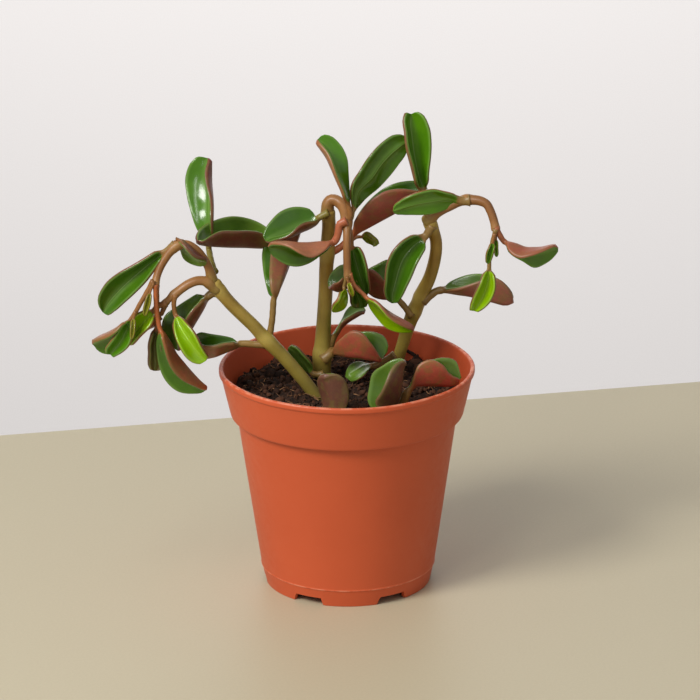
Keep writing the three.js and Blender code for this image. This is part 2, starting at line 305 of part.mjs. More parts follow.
    P: [[-34.61, -7.0, 104.82], [-38.7, -7.0, 104.98], [-41.15, -7.0, 105.3]],
    K: [[-43.6, -7.0, 105.17], [-45.36, -7.3, 104.91], [-47.98, -7.46, 103.93], [-51.28, -7.47, 102.52], [-54.8, -7.4, 101.08], [-58.51, -6.66, 100.29], [-61.76, -5.43, 101.32], [-62.91, -4.52, 102.08]],
    A: [[-43.59, -7.0, 105.96], [-45.2, -11.44, 108.04], [-47.71, -13.58, 108.36], [-50.88, -14.66, 108.32], [-54.29, -14.47, 108.1], [-57.74, -12.47, 107.32], [-61.13, -8.95, 105.76], [-62.68, -6.21, 103.72]],
    B: [[-43.58, -7.0, 106.61], [-45.6, -5.87, 107.12], [-48.62, -5.32, 107.83], [-52.42, -5.04, 108.42], [-56.48, -5.04, 108.99], [-60.58, -4.67, 109.21], [-63.29, -4.06, 106.4], [-63.43, -3.77, 104.0]] },
  { name: 'leaf_top_left', r: 1.1, th: 1.5,
    P: [[0.04, 0.0, 154.06], [1.69, 0.0, 157.46]],
    K: [[1.1, 0.0, 161.34], [0.91, 0.23, 164.13], [-0.22, 0.84, 168.11], [-2.1, 1.71, 172.66], [-4.22, 2.67, 177.32], [-6.49, 3.67, 181.97], [-9.29, 4.7, 185.9], [-10.79, 5.55, 187.74]],
    A: [[1.31, 0.0, 161.72], [0.59, -3.92, 165.66], [-0.52, -5.29, 169.97], [-1.96, -5.42, 174.76], [-3.61, -4.24, 179.4], [-5.76, -1.92, 183.49], [-8.35, 1.37, 186.69], [-10.07, 3.87, 188.09]],
    B: [[2.12, 0.0, 160.86], [2.3, 2.35, 163.64], [2.1, 4.01, 168.2], [1.63, 5.41, 173.99], [0.79, 6.37, 180.27], [-2.02, 6.86, 186.02], [-6.64, 6.87, 189.89], [-9.9, 6.61, 189.58]] },
  { name: 'leaf_top_mid', r: 1.1, th: 1.5,
    P: [[0.24, 2.0, 152.56], [1.89, 2.0, 155.54]],
    K: [[2.72, 2.0, 158.88], [3.94, 2.5, 160.75], [4.96, 2.36, 166.76], [10.69, 4.61, 172.06], [14.17, 5.26, 177.13], [18.35, 6.41, 181.55], [22.85, 7.71, 184.97], [24.89, 8.63, 186.09]],
    A: [[2.52, 2.044, 158.935], [2.56, 0.633, 163.636], [3.22, -1.999, 170.484], [6.42, 0.946, 175.933], [10.23, 2.015, 182.153], [15.03, 4.607, 187.033], [20.98, 7.392, 189.588], [24.57, 8.375, 188.239]],
    B: [[3.32, 1.376, 158.099], [5.48, 5.737, 159.163], [8.86, 4.945, 163.058], [13.43, 8.02, 166.01], [17.61, 7.886, 171.092], [21.57, 8.169, 176.268], [25.08, 8.461, 181.376], [25.77, 9.278, 184.626]] },
  { name: 'leaf_top_right', r: 1.6, th: 1.5,
    P: [[33.97, 9.0, 154.4], [32.34, 9.0, 159.55]],
    K: [[31.44, 9.0, 164.25], [31.1, 9.18, 167.27], [29.75, 9.44, 171.42], [28.54, 9.76, 176.65], [27.57, 10.1, 182.28], [26.89, 10.44, 187.92], [26.33, 10.76, 193.27], [26.62, 10.94, 196.23]],
    A: [[29.95, 9.0, 164.26], [29.5, 4.62, 168.88], [28.36, 2.67, 174.08], [27.3, 1.89, 180.03], [26.24, 2.38, 185.94], [25.35, 4.05, 191.53], [24.35, 6.76, 196.41], [25.74, 8.95, 198.34]],
    B: [[32.93, 9.0, 164.24], [33.12, 6.58, 168.51], [33.51, 5.58, 173.87], [34.07, 5.27, 180.16], [34.22, 5.7, 186.65], [33.6, 6.8, 192.91], [30.92, 8.48, 197.81], [27.93, 9.81, 198.3]] },
  { name: 'leaf_back_big', r: 1.5, th: 1.5,
    P: [[-6.21, 14.0, 137.14], [-3.73, 14.0, 138.63], [-0.84, 14.0, 140.77]],
    K: [[1.93, 14.0, 144.18], [4.29, 13.54, 146.72], [8.53, 13.09, 149.04], [13.79, 12.96, 151.96], [19.41, 12.94, 155.07], [24.89, 12.93, 158.47], [29.85, 13.3, 161.98], [32.65, 13.75, 163.21]],
    A: [[1.65, 14.0, 145.72], [2.6, 10.51, 150.6], [5.26, 8.56, 156.06], [9.06, 7.65, 161.92], [14.99, 7.76, 165.69], [21.9, 8.7, 166.33], [28.48, 10.76, 165.2], [32.19, 12.51, 164.26]],
    B: [[1.66, 14.0, 146.58], [2.97, 15.79, 149.88], [5.8, 16.4, 154.76], [10.5, 16.78, 159.98], [16.43, 16.7, 164.53], [23.33, 16.1, 167.1], [30.2, 15.4, 167.13], [33.32, 14.82, 164.98]] },
  { name: 'leaf_right_top', r: 1.9, th: 1.5,
    P: [[49.39, 6.0, 161.87]],
    K: [[47.93, 6.0, 161.74], [44.24, 5.18, 162.33], [40.5, 4.14, 162.82], [36.39, 2.9, 162.72], [31.21, 1.89, 162.17], [26.16, 0.95, 161.29], [21.77, 0.35, 160.07], [19.74, 0.08, 159.52]],
    A: [[47.35, 6.705, 162.623], [44.67, 2.924, 164.489], [40.76, 0.754, 166.176], [36.05, -0.163, 168.019], [30.85, -0.926, 167.618], [25.9, -1.392, 165.873], [21.56, -0.848, 163.138], [19.47, -0.41, 161.038]],
    B: [[47.77, 5.289, 160.849], [45.27, 6.606, 159.067], [41.65, 5.949, 157.793], [37.12, 4.664, 156.756], [32.16, 3.662, 156.392], [27.16, 2.433, 156.625], [22.51, 1.315, 157.047], [20.01, 0.594, 157.92]] },
  { name: 'leaf_right_mid', r: 1.6, th: 1.5,
    P: [[34.77, 8.0, 149.57]],
    K: [[32.73, 8.0, 146.37], [30.47, 7.12, 144.7], [27.21, 5.96, 142.24], [23.82, 4.73, 138.54], [21.63, 3.74, 133.53], [20.18, 2.92, 128.21], [18.94, 2.31, 123.07], [18.83, 2.06, 120.09]],
    A: [[31.94, 8.0, 146.99], [28.61, 3.34, 147.9], [24.2, 0.34, 146.86], [20.29, -1.81, 143.02], [17.75, -2.67, 137.29], [16.54, -2.39, 130.76], [16.08, -1.01, 124.11], [17.68, 0.41, 120.62]],
    B: [[33.12, 8.0, 144.92], [32.59, 4.12, 143.36], [30.88, 1.49, 140.5], [28.52, -0.47, 136.65], [26.25, -1.36, 132.08], [23.92, -1.3, 127.21], [22.0, -0.33, 122.18], [20.27, 0.75, 119.67]] },
  { name: 'leaf_right_behind', r: 1.3, th: 1.5,
    P: [[26.27, 17.0, 109.42], [23.79, 17.0, 112.93]],
    K: [[21.54, 17.0, 115.61], [20.5, 15.93, 117.17], [18.18, 15.09, 117.92], [15.12, 14.23, 118.11], [12.02, 13.44, 118.92], [9.41, 12.75, 121.4], [7.51, 12.11, 124.11], [6.79, 11.89, 125.08]],
    A: [[21.11, 17.0, 116.87], [19.76, 11.74, 120.39], [17.96, 8.66, 124.01], [15.87, 6.6, 127.96], [13.01, 5.91, 131.04], [9.5, 6.51, 132.63], [7.0, 8.32, 129.51], [6.57, 10.07, 126.73]],
    B: [[22.15, 17.0, 117.3], [23.15, 17.84, 119.93], [23.26, 17.71, 124.32], [21.69, 17.14, 129.76], [17.56, 16.23, 133.49], [12.57, 15.06, 131.56], [8.25, 13.67, 128.99], [6.75, 12.73, 126.81]] },
  { name: 'leaf_centre_hang_right', r: 0.9, th: 1.5,
    P: [[1.45, 1.0, 151.59], [2.05, 1.0, 148.6]],
    K: [[2.35, 1.0, 144.32], [2.72, 1.11, 142.32], [3.34, 1.33, 139.44], [4.3, 1.69, 135.92], [5.3, 2.14, 132.14], [6.47, 2.73, 128.36], [7.57, 3.42, 124.76], [8.09, 3.85, 122.68]],
    A: [[2.03, 1.0, 143.91], [1.99, -1.97, 142.82], [1.97, -3.24, 140.27], [2.05, -3.63, 136.75], [2.34, -3.07, 132.7], [3.53, -1.58, 128.52], [5.67, 0.72, 124.86], [7.15, 2.51, 122.91]],
    B: [[3.02, 1.0, 145.96], [4.13, -1.97, 145.11], [5.61, -3.24, 142.82], [6.88, -3.64, 139.36], [8.16, -3.08, 135.3], [8.72, -1.59, 130.77], [8.99, 0.71, 126.15], [8.74, 2.5, 123.4]] },
  { name: 'leaf_centre_hang_mid', r: 0.8, th: 1.5,
    P: [[1.13, -1.0, 130.81]],
    K: [[1.93, -1.0, 128.23], [2.4, -0.64, 127.25], [3.07, -0.12, 125.84], [3.89, 0.52, 124.08], [4.68, 1.2, 122.17], [5.29, 1.88, 120.19], [5.71, 2.52, 118.26], [5.91, 2.88, 117.16]],
    A: [[1.45, -1.0, 127.82], [1.67, -3.51, 127.67], [1.98, -4.38, 126.56], [2.34, -4.44, 124.88], [2.64, -3.66, 122.81], [2.84, -2.14, 120.31], [3.41, -0.0, 117.97], [4.26, 1.63, 117.05]],
    B: [[2.71, -1.0, 128.22], [3.47, -3.55, 128.29], [4.55, -4.44, 127.45], [5.75, -4.51, 126.0], [6.88, -3.73, 124.02], [7.89, -2.2, 121.54], [7.93, -0.03, 118.96], [7.38, 1.61, 117.45]] },
  { name: 'leaf_centre_bright', r: 0.85, th: 1.5,
    P: [[1.74, -6.0, 133.76], [2.75, -6.0, 130.75], [4.56, -6.0, 128.03], [6.39, -6.0, 126.43]],
    K: [[7.86, -6.0, 124.79], [9.08, -7.08, 123.33], [11.67, -8.1, 121.7], [14.71, -9.09, 119.31], [18.26, -10.06, 117.17], [22.0, -10.95, 115.38], [25.35, -11.71, 113.56], [26.66, -12.04, 112.21]],
    A: [[7.6, -6.0, 124.62], [9.19, -10.51, 124.59], [11.68, -13.22, 123.49], [14.45, -15.15, 121.3], [17.34, -16.03, 118.52], [20.5, -15.89, 115.71], [23.97, -14.77, 113.47], [26.08, -13.56, 112.4]],
    B: [[7.19, -6.0, 124.45], [8.29, -4.19, 121.56], [9.65, -3.82, 118.04], [11.98, -4.21, 114.34], [15.16, -5.31, 111.26], [19.35, -7.02, 109.96], [23.57, -9.21, 110.04], [25.95, -10.79, 110.77]] },
  { name: 'leaf_centre_young', r: 0.8, th: 1.5,
    P: [[-0.09, -6.0, 132.91], [-0.63, -6.0, 130.77]],
    K: [[-0.92, -6.0, 128.79], [-0.13, -7.1, 127.88], [-0.29, -8.21, 126.63], [-1.16, -9.2, 125.13], [-2.3, -9.89, 123.52], [-3.47, -10.42, 121.94], [-4.8, -10.52, 120.57], [-5.56, -10.28, 120.0]],
    A: [[-0.61, -6.0, 128.62], [-0.93, -10.47, 129.15], [-1.42, -13.21, 128.69], [-2.15, -15.04, 127.65], [-3.06, -15.52, 126.13], [-4.09, -14.89, 124.31], [-5.07, -13.23, 122.24], [-5.61, -11.64, 120.84]],
    B: [[0.05, -6.0, 128.62], [0.67, -3.82, 126.63], [1.19, -3.35, 124.49], [0.93, -3.56, 122.07], [-0.11, -4.27, 119.8], [-1.83, -5.58, 118.37], [-4.18, -7.39, 118.15], [-5.43, -8.74, 118.9]] },
  { name: 'bud_centre', r: 0.55, th: 0.8,
    P: [[0.52, -8.5, 133.1]],
    K: [[0.83, -8.5, 132.02], [1.01, -8.72, 131.54], [1.27, -9.01, 130.83], [1.58, -9.32, 129.94], [1.91, -9.57, 128.97], [2.22, -9.77, 127.98], [2.5, -9.92, 127.02], [2.66, -9.98, 126.48]],
    A: [[0.6, -8.5, 131.61], [0.68, -9.59, 131.44], [0.82, -10.31, 130.9], [1.03, -10.82, 130.14], [1.35, -11.04, 129.24], [1.77, -10.99, 128.29], [2.22, -10.69, 127.35], [2.5, -10.36, 126.78]],
    B: [[1.23, -8.5, 132.02], [1.42, -9.61, 131.86], [1.7, -10.33, 131.35], [2.05, -10.85, 130.58], [2.4, -11.07, 129.64], [2.66, -11.02, 128.6], [2.77, -10.7, 127.5], [2.79, -10.37, 126.82]] },
  { name: 'leaf_centre_back_left', r: 0.8, th: 1.0,
    P: [[3.2, 1.0, 129.2]],
    K: [[1.3, 1.0, 128.5], [0.6, 0.8, 128.0], [-0.21, 0.93, 126.86], [-1.67, 1.25, 125.74], [-3.47, 1.58, 125.49], [-5.17, 1.92, 126.08], [-6.58, 2.34, 126.56], [-7.16, 2.76, 126.39]],
    A: [[1.2, 0.4, 129.3], [0.2, -2.2, 130.4], [-1.09, -6.08, 132.95], [-2.37, -6.99, 132.91], [-3.7, -6.48, 132.05], [-4.98, -4.66, 130.74], [-6.06, -1.69, 128.9], [-6.64, 0.73, 127.55]],
    B: [[1.4, 1.6, 129.5], [1.1, 2.2, 131.0], [0.64, 3.2, 135.27], [-2.1, 3.81, 135.36], [-4.56, 4.11, 133.67], [-6.45, 4.11, 131.35], [-7.6, 3.8, 128.84], [-7.68, 3.46, 127.35]] },
  { name: 'leaf_centre_low_behind', r: 1.6, th: 1.5,
    P: [[-8.39, 15.0, 92.8], [-7.13, 15.0, 95.87]],
    K: [[-5.72, 15.0, 99.69], [-4.95, 15.69, 101.63], [-3.67, 16.62, 103.85], [-1.76, 17.52, 105.81], [0.59, 18.21, 107.55], [3.33, 18.83, 109.01], [5.95, 19.35, 110.33], [7.43, 19.75, 110.48]],
    A: [[-5.81, 15.0, 100.69], [-5.02, 11.53, 103.44], [-3.84, 10.39, 106.03], [-2.15, 10.33, 108.56], [0.06, 11.32, 110.52], [2.68, 13.27, 111.68], [5.46, 16.02, 111.65], [7.11, 18.12, 111.09]],
    B: [[-5.97, 15.0, 101.56], [-5.11, 18.58, 102.1], [-3.78, 20.85, 103.82], [-2.04, 22.5, 106.28], [-0.27, 23.25, 109.28], [2.45, 23.14, 111.84], [5.54, 22.21, 112.86], [7.16, 21.2, 112.08]] },
  { name: 'leaf_soil_centre', r: 2.0, th: 1.5,
    P: [[-8.8, 11.0, 92.46], [-7.55, 11.0, 93.55]],
    K: [[-5.83, 11.0, 95.24], [-4.22, 9.05, 95.95], [-1.62, 6.63, 95.74], [1.82, 4.44, 95.7], [5.6, 2.52, 96.09], [9.25, 1.95, 95.44], [12.72, 1.94, 95.2], [14.0, 1.99, 95.14]],
    A: [[-5.88, 11.0, 96.38], [-4.39, 7.35, 99.95], [-1.74, 4.1, 103.91], [1.95, 1.48, 107.66], [6.69, -0.36, 107.46], [10.01, -0.39, 103.67], [12.5, 0.5, 99.24], [13.77, 1.25, 96.56]],
    B: [[-5.46, 11.0, 96.82], [-3.79, 10.66, 99.71], [-0.37, 9.0, 103.32], [4.92, 7.19, 105.3], [10.74, 5.23, 105.92], [15.81, 4.24, 103.63], [17.06, 3.4, 98.41], [15.31, 2.7, 95.95]] },
  { name: 'leaf_soil_low', r: 1.5, th: 1.5,
    P: [[18.95, 14.0, 91.88], [15.42, 14.0, 89.71], [12.72, 14.0, 88.18]],
    K: [[9.98, 14.0, 87.53], [8.61, 12.88, 88.49], [7.12, 11.63, 88.88], [5.43, 10.3, 88.37], [3.63, 9.22, 87.56], [1.8, 8.31, 86.66], [0.52, 7.84, 85.37], [0.39, 8.11, 84.49]],
    A: [[9.2, 14.0, 88.65], [7.98, 15.95, 88.6], [6.13, 16.15, 89.29], [3.61, 15.61, 89.75], [1.39, 14.52, 88.95], [-0.01, 12.88, 87.12], [-0.76, 10.79, 85.43], [-0.8, 9.3, 84.5]],
    B: [[10.44, 14.0, 86.88], [9.52, 9.22, 88.12], [8.26, 6.17, 88.49], [6.83, 3.99, 88.22], [5.43, 3.13, 87.2], [4.09, 3.45, 85.7], [2.58, 4.89, 84.36], [1.61, 6.36, 83.58]] },
  { name: 'leaf_soil_front_left', r: 2.0, th: 1.5,
    P: [[-4.92, -30.0, 78.26]],
    K: [[-5.22, -30.0, 81.65], [-5.03, -28.57, 82.4], [-5.16, -28.01, 84.76], [-5.64, -27.67, 87.81], [-6.39, -27.31, 91.08], [-7.24, -26.96, 94.43], [-8.23, -26.82, 97.61], [-8.67, -27.42, 98.94]],
    A: [[-6.92, -30.0, 81.51], [-7.46, -25.51, 81.64], [-8.29, -23.17, 83.31], [-9.42, -21.8, 85.89], [-10.33, -21.61, 89.19], [-10.98, -22.52, 92.92], [-11.06, -24.46, 96.97], [-10.03, -26.18, 98.95]],
    B: [[-3.28, -30.0, 81.06], [-1.93, -28.23, 82.31], [-0.3, -27.19, 84.91], [0.76, -26.49, 88.74], [0.41, -26.2, 93.1], [-1.42, -26.33, 97.16], [-4.85, -26.84, 99.39], [-7.07, -27.36, 99.63]] },
  { name: 'leaf_soil_front_mid', r: 2.0, th: 1.5,
    P: [[17.02, -28.0, 77.37]],
    K: [[16.96, -28.0, 80.59], [17.43, -27.97, 82.46], [18.96, -27.37, 85.18], [20.35, -26.82, 89.04], [21.05, -26.33, 93.4], [21.4, -25.89, 97.8], [22.0, -25.56, 102.07], [23.15, -25.19, 103.65]],
    A: [[15.41, -28.0, 81.5], [13.02, -32.55, 85.23], [11.32, -34.39, 89.19], [13.26, -34.99, 93.78], [14.75, -34.32, 98.47], [16.91, -32.45, 102.44], [20.14, -29.54, 104.87], [22.56, -27.21, 105.03]],
    B: [[13.38, -28.0, 81.94], [10.54, -26.16, 82.93], [8.35, -24.89, 86.34], [8.79, -23.94, 91.83], [10.14, -23.49, 97.69], [14.6, -23.49, 101.25], [19.39, -23.92, 104.17], [22.43, -24.42, 104.55]] },
  { name: 'leaf_soil_right', r: 1.9, th: 1.5,
    P: [[22.4, -22.0, 83.8], [23.21, -22.0, 85.75]],
    K: [[24.33, -22.0, 88.78], [25.49, -21.51, 90.85], [27.65, -20.7, 92.28], [30.86, -19.71, 91.74], [34.5, -18.7, 91.2], [38.19, -17.7, 90.89], [42.4, -16.7, 91.0], [45.0, -16.1, 91.7]],
    A: [[24.28, -22.0, 89.64], [25.54, -22.86, 92.67], [26.92, -22.77, 96.77], [29.35, -22.15, 101.28], [34.27, -21.08, 103.18], [39.13, -19.65, 100.37], [42.29, -17.95, 95.49], [45.9, -16.3, 93.0]],
    B: [[25.26, -22.0, 90.93], [26.6, -20.06, 93.32], [28.93, -18.59, 97.18], [33.24, -17.29, 100.66], [39.22, -16.32, 101.83], [44.78, -15.71, 99.9], [46.53, -15.49, 94.11], [46.7, -15.6, 92.6]] },
  { name: 'leaf_soil_left_behind', r: 1.2, th: 1.5,
    P: [[-10.7, 8.0, 86.51], [-11.52, 8.0, 86.3]],
    K: [[-13.96, 8.0, 86.72], [-15.38, 8.11, 87.52], [-16.86, 7.67, 89.83], [-18.42, 7.29, 92.06], [-20.02, 6.91, 94.22], [-21.35, 6.38, 96.26], [-22.9, 6.04, 97.77], [-23.88, 5.93, 98.48]],
    A: [[-13.17, 8.568, 87.431], [-13.94, 7.065, 89.16], [-15.08, 5.149, 91.561], [-16.57, 4.154, 93.95], [-18.2, 3.892, 96.194], [-19.89, 3.961, 98.294], [-21.85, 4.734, 99.452], [-23.13, 5.52, 99.665]],
    B: [[-14.43, 7.064, 85.548], [-15.59, 9.608, 85.454], [-17.24, 9.436, 86.705], [-19.12, 9.247, 88.437], [-20.88, 8.775, 90.658], [-22.42, 7.673, 93.295], [-23.7, 6.695, 95.865], [-24.38, 6.084, 97.359]] },
  { name: 'leaf_right_fork', r: 1.6, th: 1.5,
    P: [[32.48, 17.0, 115.49], [34.96, 17.0, 117.65], [37.02, 17.0, 119.25]],
    K: [[39.02, 17.0, 119.74], [41.67, 16.55, 120.24], [45.75, 16.01, 119.69], [50.75, 15.41, 118.87], [55.94, 14.78, 117.47], [61.12, 14.13, 116.07], [65.96, 13.49, 115.22], [68.02, 13.14, 116.55]],
    A: [[38.92, 17.0, 120.11], [41.89, 13.69, 121.81], [46.21, 11.74, 123.41], [51.46, 10.39, 125.37], [57.11, 9.81, 126.83], [62.96, 9.99, 126.76], [67.19, 10.89, 122.73], [68.31, 11.83, 119.4]],
    B: [[38.67, 17.0, 120.68], [41.23, 19.18, 122.1], [45.4, 19.89, 124.11], [50.93, 19.87, 125.72], [57.02, 19.1, 126.02], [62.78, 17.68, 124.43], [67.05, 15.71, 121.09], [68.34, 14.23, 118.48]] },
  { name: 'leaf_right_bright', r: 0.85, th: 1.5,
    P: [[60.59, -2.0, 150.89], [59.59, -2.0, 147.06], [58.92, -2.0, 143.21], [58.45, -2.0, 139.79], [58.34, -2.0, 137.65]],
    K: [[58.31, -2.0, 135.5], [58.18, -2.44, 133.87], [57.92, -3.02, 131.5], [57.31, -3.63, 128.61], [56.3, -4.13, 125.58], [54.98, -4.54, 122.65], [53.5, -4.84, 120.0], [52.59, -4.97, 118.54]],
    A: [[57.84, -2.0, 135.09], [56.95, -5.01, 134.46], [55.82, -6.83, 132.69], [54.6, -8.07, 130.1], [53.45, -8.48, 126.98], [52.16, -8.14, 123.7], [50.96, -7.1, 120.34], [51.02, -6.09, 118.28]],
    B: [[58.78, -2.0, 135.09], [59.33, -4.74, 134.09], [60.07, -6.44, 131.86], [60.23, -7.61, 128.68], [59.0, -8.03, 125.26], [56.99, -7.77, 122.03], [54.47, -6.86, 119.36], [52.83, -5.97, 118.11]] },
  { name: 'leaf_right_end', r: 1.15, th: 1.5,
    P: [[61.43, -1.0, 151.42], [62.67, -1.0, 149.06], [63.65, -1.0, 147.35]],
    K: [[64.56, -1.0, 146.35], [65.97, -2.22, 145.42], [68.83, -3.07, 144.82], [72.34, -4.06, 143.67], [76.22, -5.03, 143.65], [80.07, -5.88, 144.02], [83.69, -6.33, 144.99], [85.58, -6.3, 145.09]],
    A: [[64.31, -1.0, 145.85], [64.99, -5.68, 145.05], [66.96, -8.49, 143.17], [70.52, -10.41, 141.78], [74.87, -11.12, 142.47], [78.98, -10.68, 143.99], [82.77, -9.18, 145.38], [85.04, -7.68, 145.57]],
    B: [[63.91, -1.0, 145.42], [65.14, -0.37, 142.63], [67.78, -0.6, 139.64], [71.95, -1.22, 137.25], [76.5, -2.12, 135.14], [81.19, -3.24, 137.44], [84.95, -4.51, 140.9], [86.32, -5.36, 143.6]] },
  { name: 'bud_back', r: 0.7, th: 1.0,
    P: [[2.46, 19.0, 141.08], [4.52, 19.0, 142.37]],
    K: [[6.43, 19.0, 142.38], [7.2, 19.14, 142.68], [8.08, 19.46, 142.52], [9.15, 19.78, 141.9], [10.38, 19.84, 141.08], [11.46, 19.76, 140.07], [12.07, 19.79, 138.96], [12.28, 19.86, 138.28]],
    A: [[6.17, 18.713, 142.021], [6.58, 20.332, 140.935], [7.2, 21.279, 139.942], [8.03, 22.014, 138.977], [8.99, 22.079, 138.307], [9.99, 21.569, 137.896], [10.92, 20.86, 137.607], [11.45, 20.279, 137.523]],
    B: [[7.0, 19.518, 143.029], [7.79, 17.527, 143.993], [8.88, 16.975, 144.312], [10.07, 16.823, 143.838], [11.21, 16.779, 142.808], [12.25, 17.144, 141.57], [12.87, 18.138, 139.984], [13.04, 19.049, 138.851]] },
  { name: 'bud_right_long', r: 0.6, th: 0.9,
    P: [[60.11, -4.5, 149.78]],
    K: [[59.63, -4.5, 147.43], [59.41, -4.77, 146.69], [59.09, -5.12, 145.59], [58.69, -5.42, 144.21], [58.28, -5.5, 142.66], [57.94, -5.5, 141.06], [57.77, -5.5, 139.53], [57.71, -5.5, 138.66]],
    A: [[59.24, -4.5, 147.03], [58.92, -5.96, 146.74], [58.5, -6.9, 145.94], [58.01, -7.49, 144.77], [57.56, -7.53, 143.3], [57.27, -7.18, 141.67], [57.28, -6.55, 140.02], [57.37, -6.02, 139.02]],
    B: [[60.18, -4.5, 147.02], [60.07, -5.86, 146.64], [59.92, -6.74, 145.75], [59.67, -7.31, 144.51], [59.28, -7.35, 143.03], [58.82, -7.03, 141.47], [58.37, -6.46, 139.91], [58.12, -5.98, 138.99]] },
  { name: 'bud_right_small', r: 0.5, th: 0.7,
    P: [[60.96, -1.0, 149.07]],
    K: [[60.97, -1.0, 147.58], [60.98, -1.0, 146.89], [61.0, -1.0, 145.88], [61.05, -1.0, 144.65], [61.1, -1.0, 143.34], [61.19, -1.0, 142.03], [61.29, -1.0, 140.8], [61.35, -1.0, 140.1]],
    A: [[60.73, -1.0, 147.17], [60.66, -1.74, 146.79], [60.6, -2.1, 146.0], [60.59, -2.28, 144.96], [60.62, -2.26, 143.78], [60.75, -2.04, 142.54], [60.94, -1.65, 141.32], [61.08, -1.32, 140.6]],
    B: [[61.24, -1.0, 147.17], [61.27, -1.75, 146.79], [61.32, -2.11, 146.02], [61.39, -2.29, 144.97], [61.45, -2.27, 143.8], [61.51, -2.05, 142.56], [61.56, -1.66, 141.32], [61.59, -1.33, 140.6]] },
];

// ---- pot --------------------------------------------------------------------
function potSolid() {
  const pr = [
    [0, 0], [PAD_RADIUS, 0], [PAD_RADIUS + 0.6, FLOOR_UNDER_Z], [FOOT_RADIUS - 1.9, FLOOR_UNDER_Z], [FOOT_RADIUS - 1.5, 0],
    [FOOT_RADIUS, 0], [SEAM_RADIUS - 0.1, SEAM_Z - 0.3], [SEAM_RADIUS + 0.25, SEAM_Z], [SEAM_RADIUS + 0.15, SEAM_Z + 0.6],
    [BODY_TOP_RADIUS, COLLAR_BOTTOM_Z + 0.2], [COLLAR_BOTTOM_RADIUS, COLLAR_BOTTOM_Z], [COLLAR_BOTTOM_RADIUS + 0.3, COLLAR_BOTTOM_Z + 0.8],
    [RIM_RADIUS - 0.75, POT_HEIGHT - 2.6], [RIM_RADIUS, POT_HEIGHT - 2.1], [RIM_RADIUS, POT_HEIGHT - 0.5], [RIM_RADIUS - 0.4, POT_HEIGHT],
    [RIM_RADIUS - 1.5, POT_HEIGHT], [RIM_RADIUS - 1.9, POT_HEIGHT - 0.6], [COLLAR_BOTTOM_RADIUS - WALL + 0.3, COLLAR_BOTTOM_Z + 1.4],
    [BODY_TOP_RADIUS - WALL, COLLAR_BOTTOM_Z - 0.4], [SEAM_RADIUS - WALL, SEAM_Z], [SEAM_RADIUS - WALL - 0.7, FLOOR_TOP_Z], [0, FLOOR_TOP_Z],
  ].map(([r, z]) => new THREE.Vector2(r, z));
  const lathe = new THREE.LatheGeometry(pr, POT_SEGMENTS);
  lathe.rotateX(Math.PI / 2);
  let g = lathe.clone();
  g.deleteAttribute('normal'); g.deleteAttribute('uv');
  g = outward(BufferGeometryUtils.mergeVertices(g, 1e-3));
  let pot = toSolid(g);
  for (let k = 0; k < NOTCH_COUNT; k++) {
    const a = THREE.MathUtils.degToRad(NOTCH_FIRST_ANGLE + k * 360 / NOTCH_COUNT);
    const shape = new THREE.Shape();
    shape.moveTo(-NOTCH_WIDTH / 2, -2); shape.lineTo(NOTCH_WIDTH / 2, -2); shape.lineTo(NOTCH_WIDTH / 2 - 1.2, NOTCH_HEIGHT);
    shape.lineTo(-NOTCH_WIDTH / 2 + 1.2, NOTCH_HEIGHT); shape.closePath();
    const cut = new THREE.ExtrudeGeometry(shape, { depth: 6, bevelEnabled: false, steps: 1 });
    const m = new THREE.Matrix4().makeBasis(
      new THREE.Vector3(-Math.sin(a), Math.cos(a), 0), new THREE.Vector3(0, 0, 1), new THREE.Vector3(Math.cos(a), Math.sin(a), 0));
    m.setPosition((FOOT_RADIUS - 4.2) * Math.cos(a), (FOOT_RADIUS - 4.2) * Math.sin(a), 0);
    cut.applyMatrix4(m);
    const notch = new THREE.BufferGeometry().copy(cut);
    let ng = notch.index ? notch : BufferGeometryUtils.mergeVertices(notch, 1e-4);
    ng.deleteAttribute('normal'); ng.deleteAttribute('uv');
    ng = outward(BufferGeometryUtils.mergeVertices(ng, 1e-4));
    pot = pot.subtract(toSolid(ng));
    const hole = new THREE.CylinderGeometry(DRAIN_RADIUS, DRAIN_RADIUS, 12, 12);
    hole.rotateX(Math.PI / 2);
    hole.translate(DRAIN_CIRCLE * Math.cos(a), DRAIN_CIRCLE * Math.sin(a), 3);
    pot = pot.subtract(toSolid(hole));
  }
  return pot;
}

// inner wall radius of the pot at height z
function innerRadius(z) {
  const k = [[FLOOR_TOP_Z, SEAM_RADIUS - WALL - 0.7], [SEAM_Z, SEAM_RADIUS - WALL], [COLLAR_BOTTOM_Z - 0.4, BODY_TOP_RADIUS - WALL],
    [COLLAR_BOTTOM_Z + 1.4, COLLAR_BOTTOM_RADIUS - WALL + 0.3], [POT_HEIGHT - 0.6, RIM_RADIUS - 1.9]];
  for (let i = 1; i < k.length; i++) if (z <= k[i][0]) {
    const t = (z - k[i - 1][0]) / (k[i][0] - k[i - 1][0]);
    return k[i - 1][1] + t * (k[i][1] - k[i - 1][1]);
  }
  return RIM_RADIUS - 1.9;
}

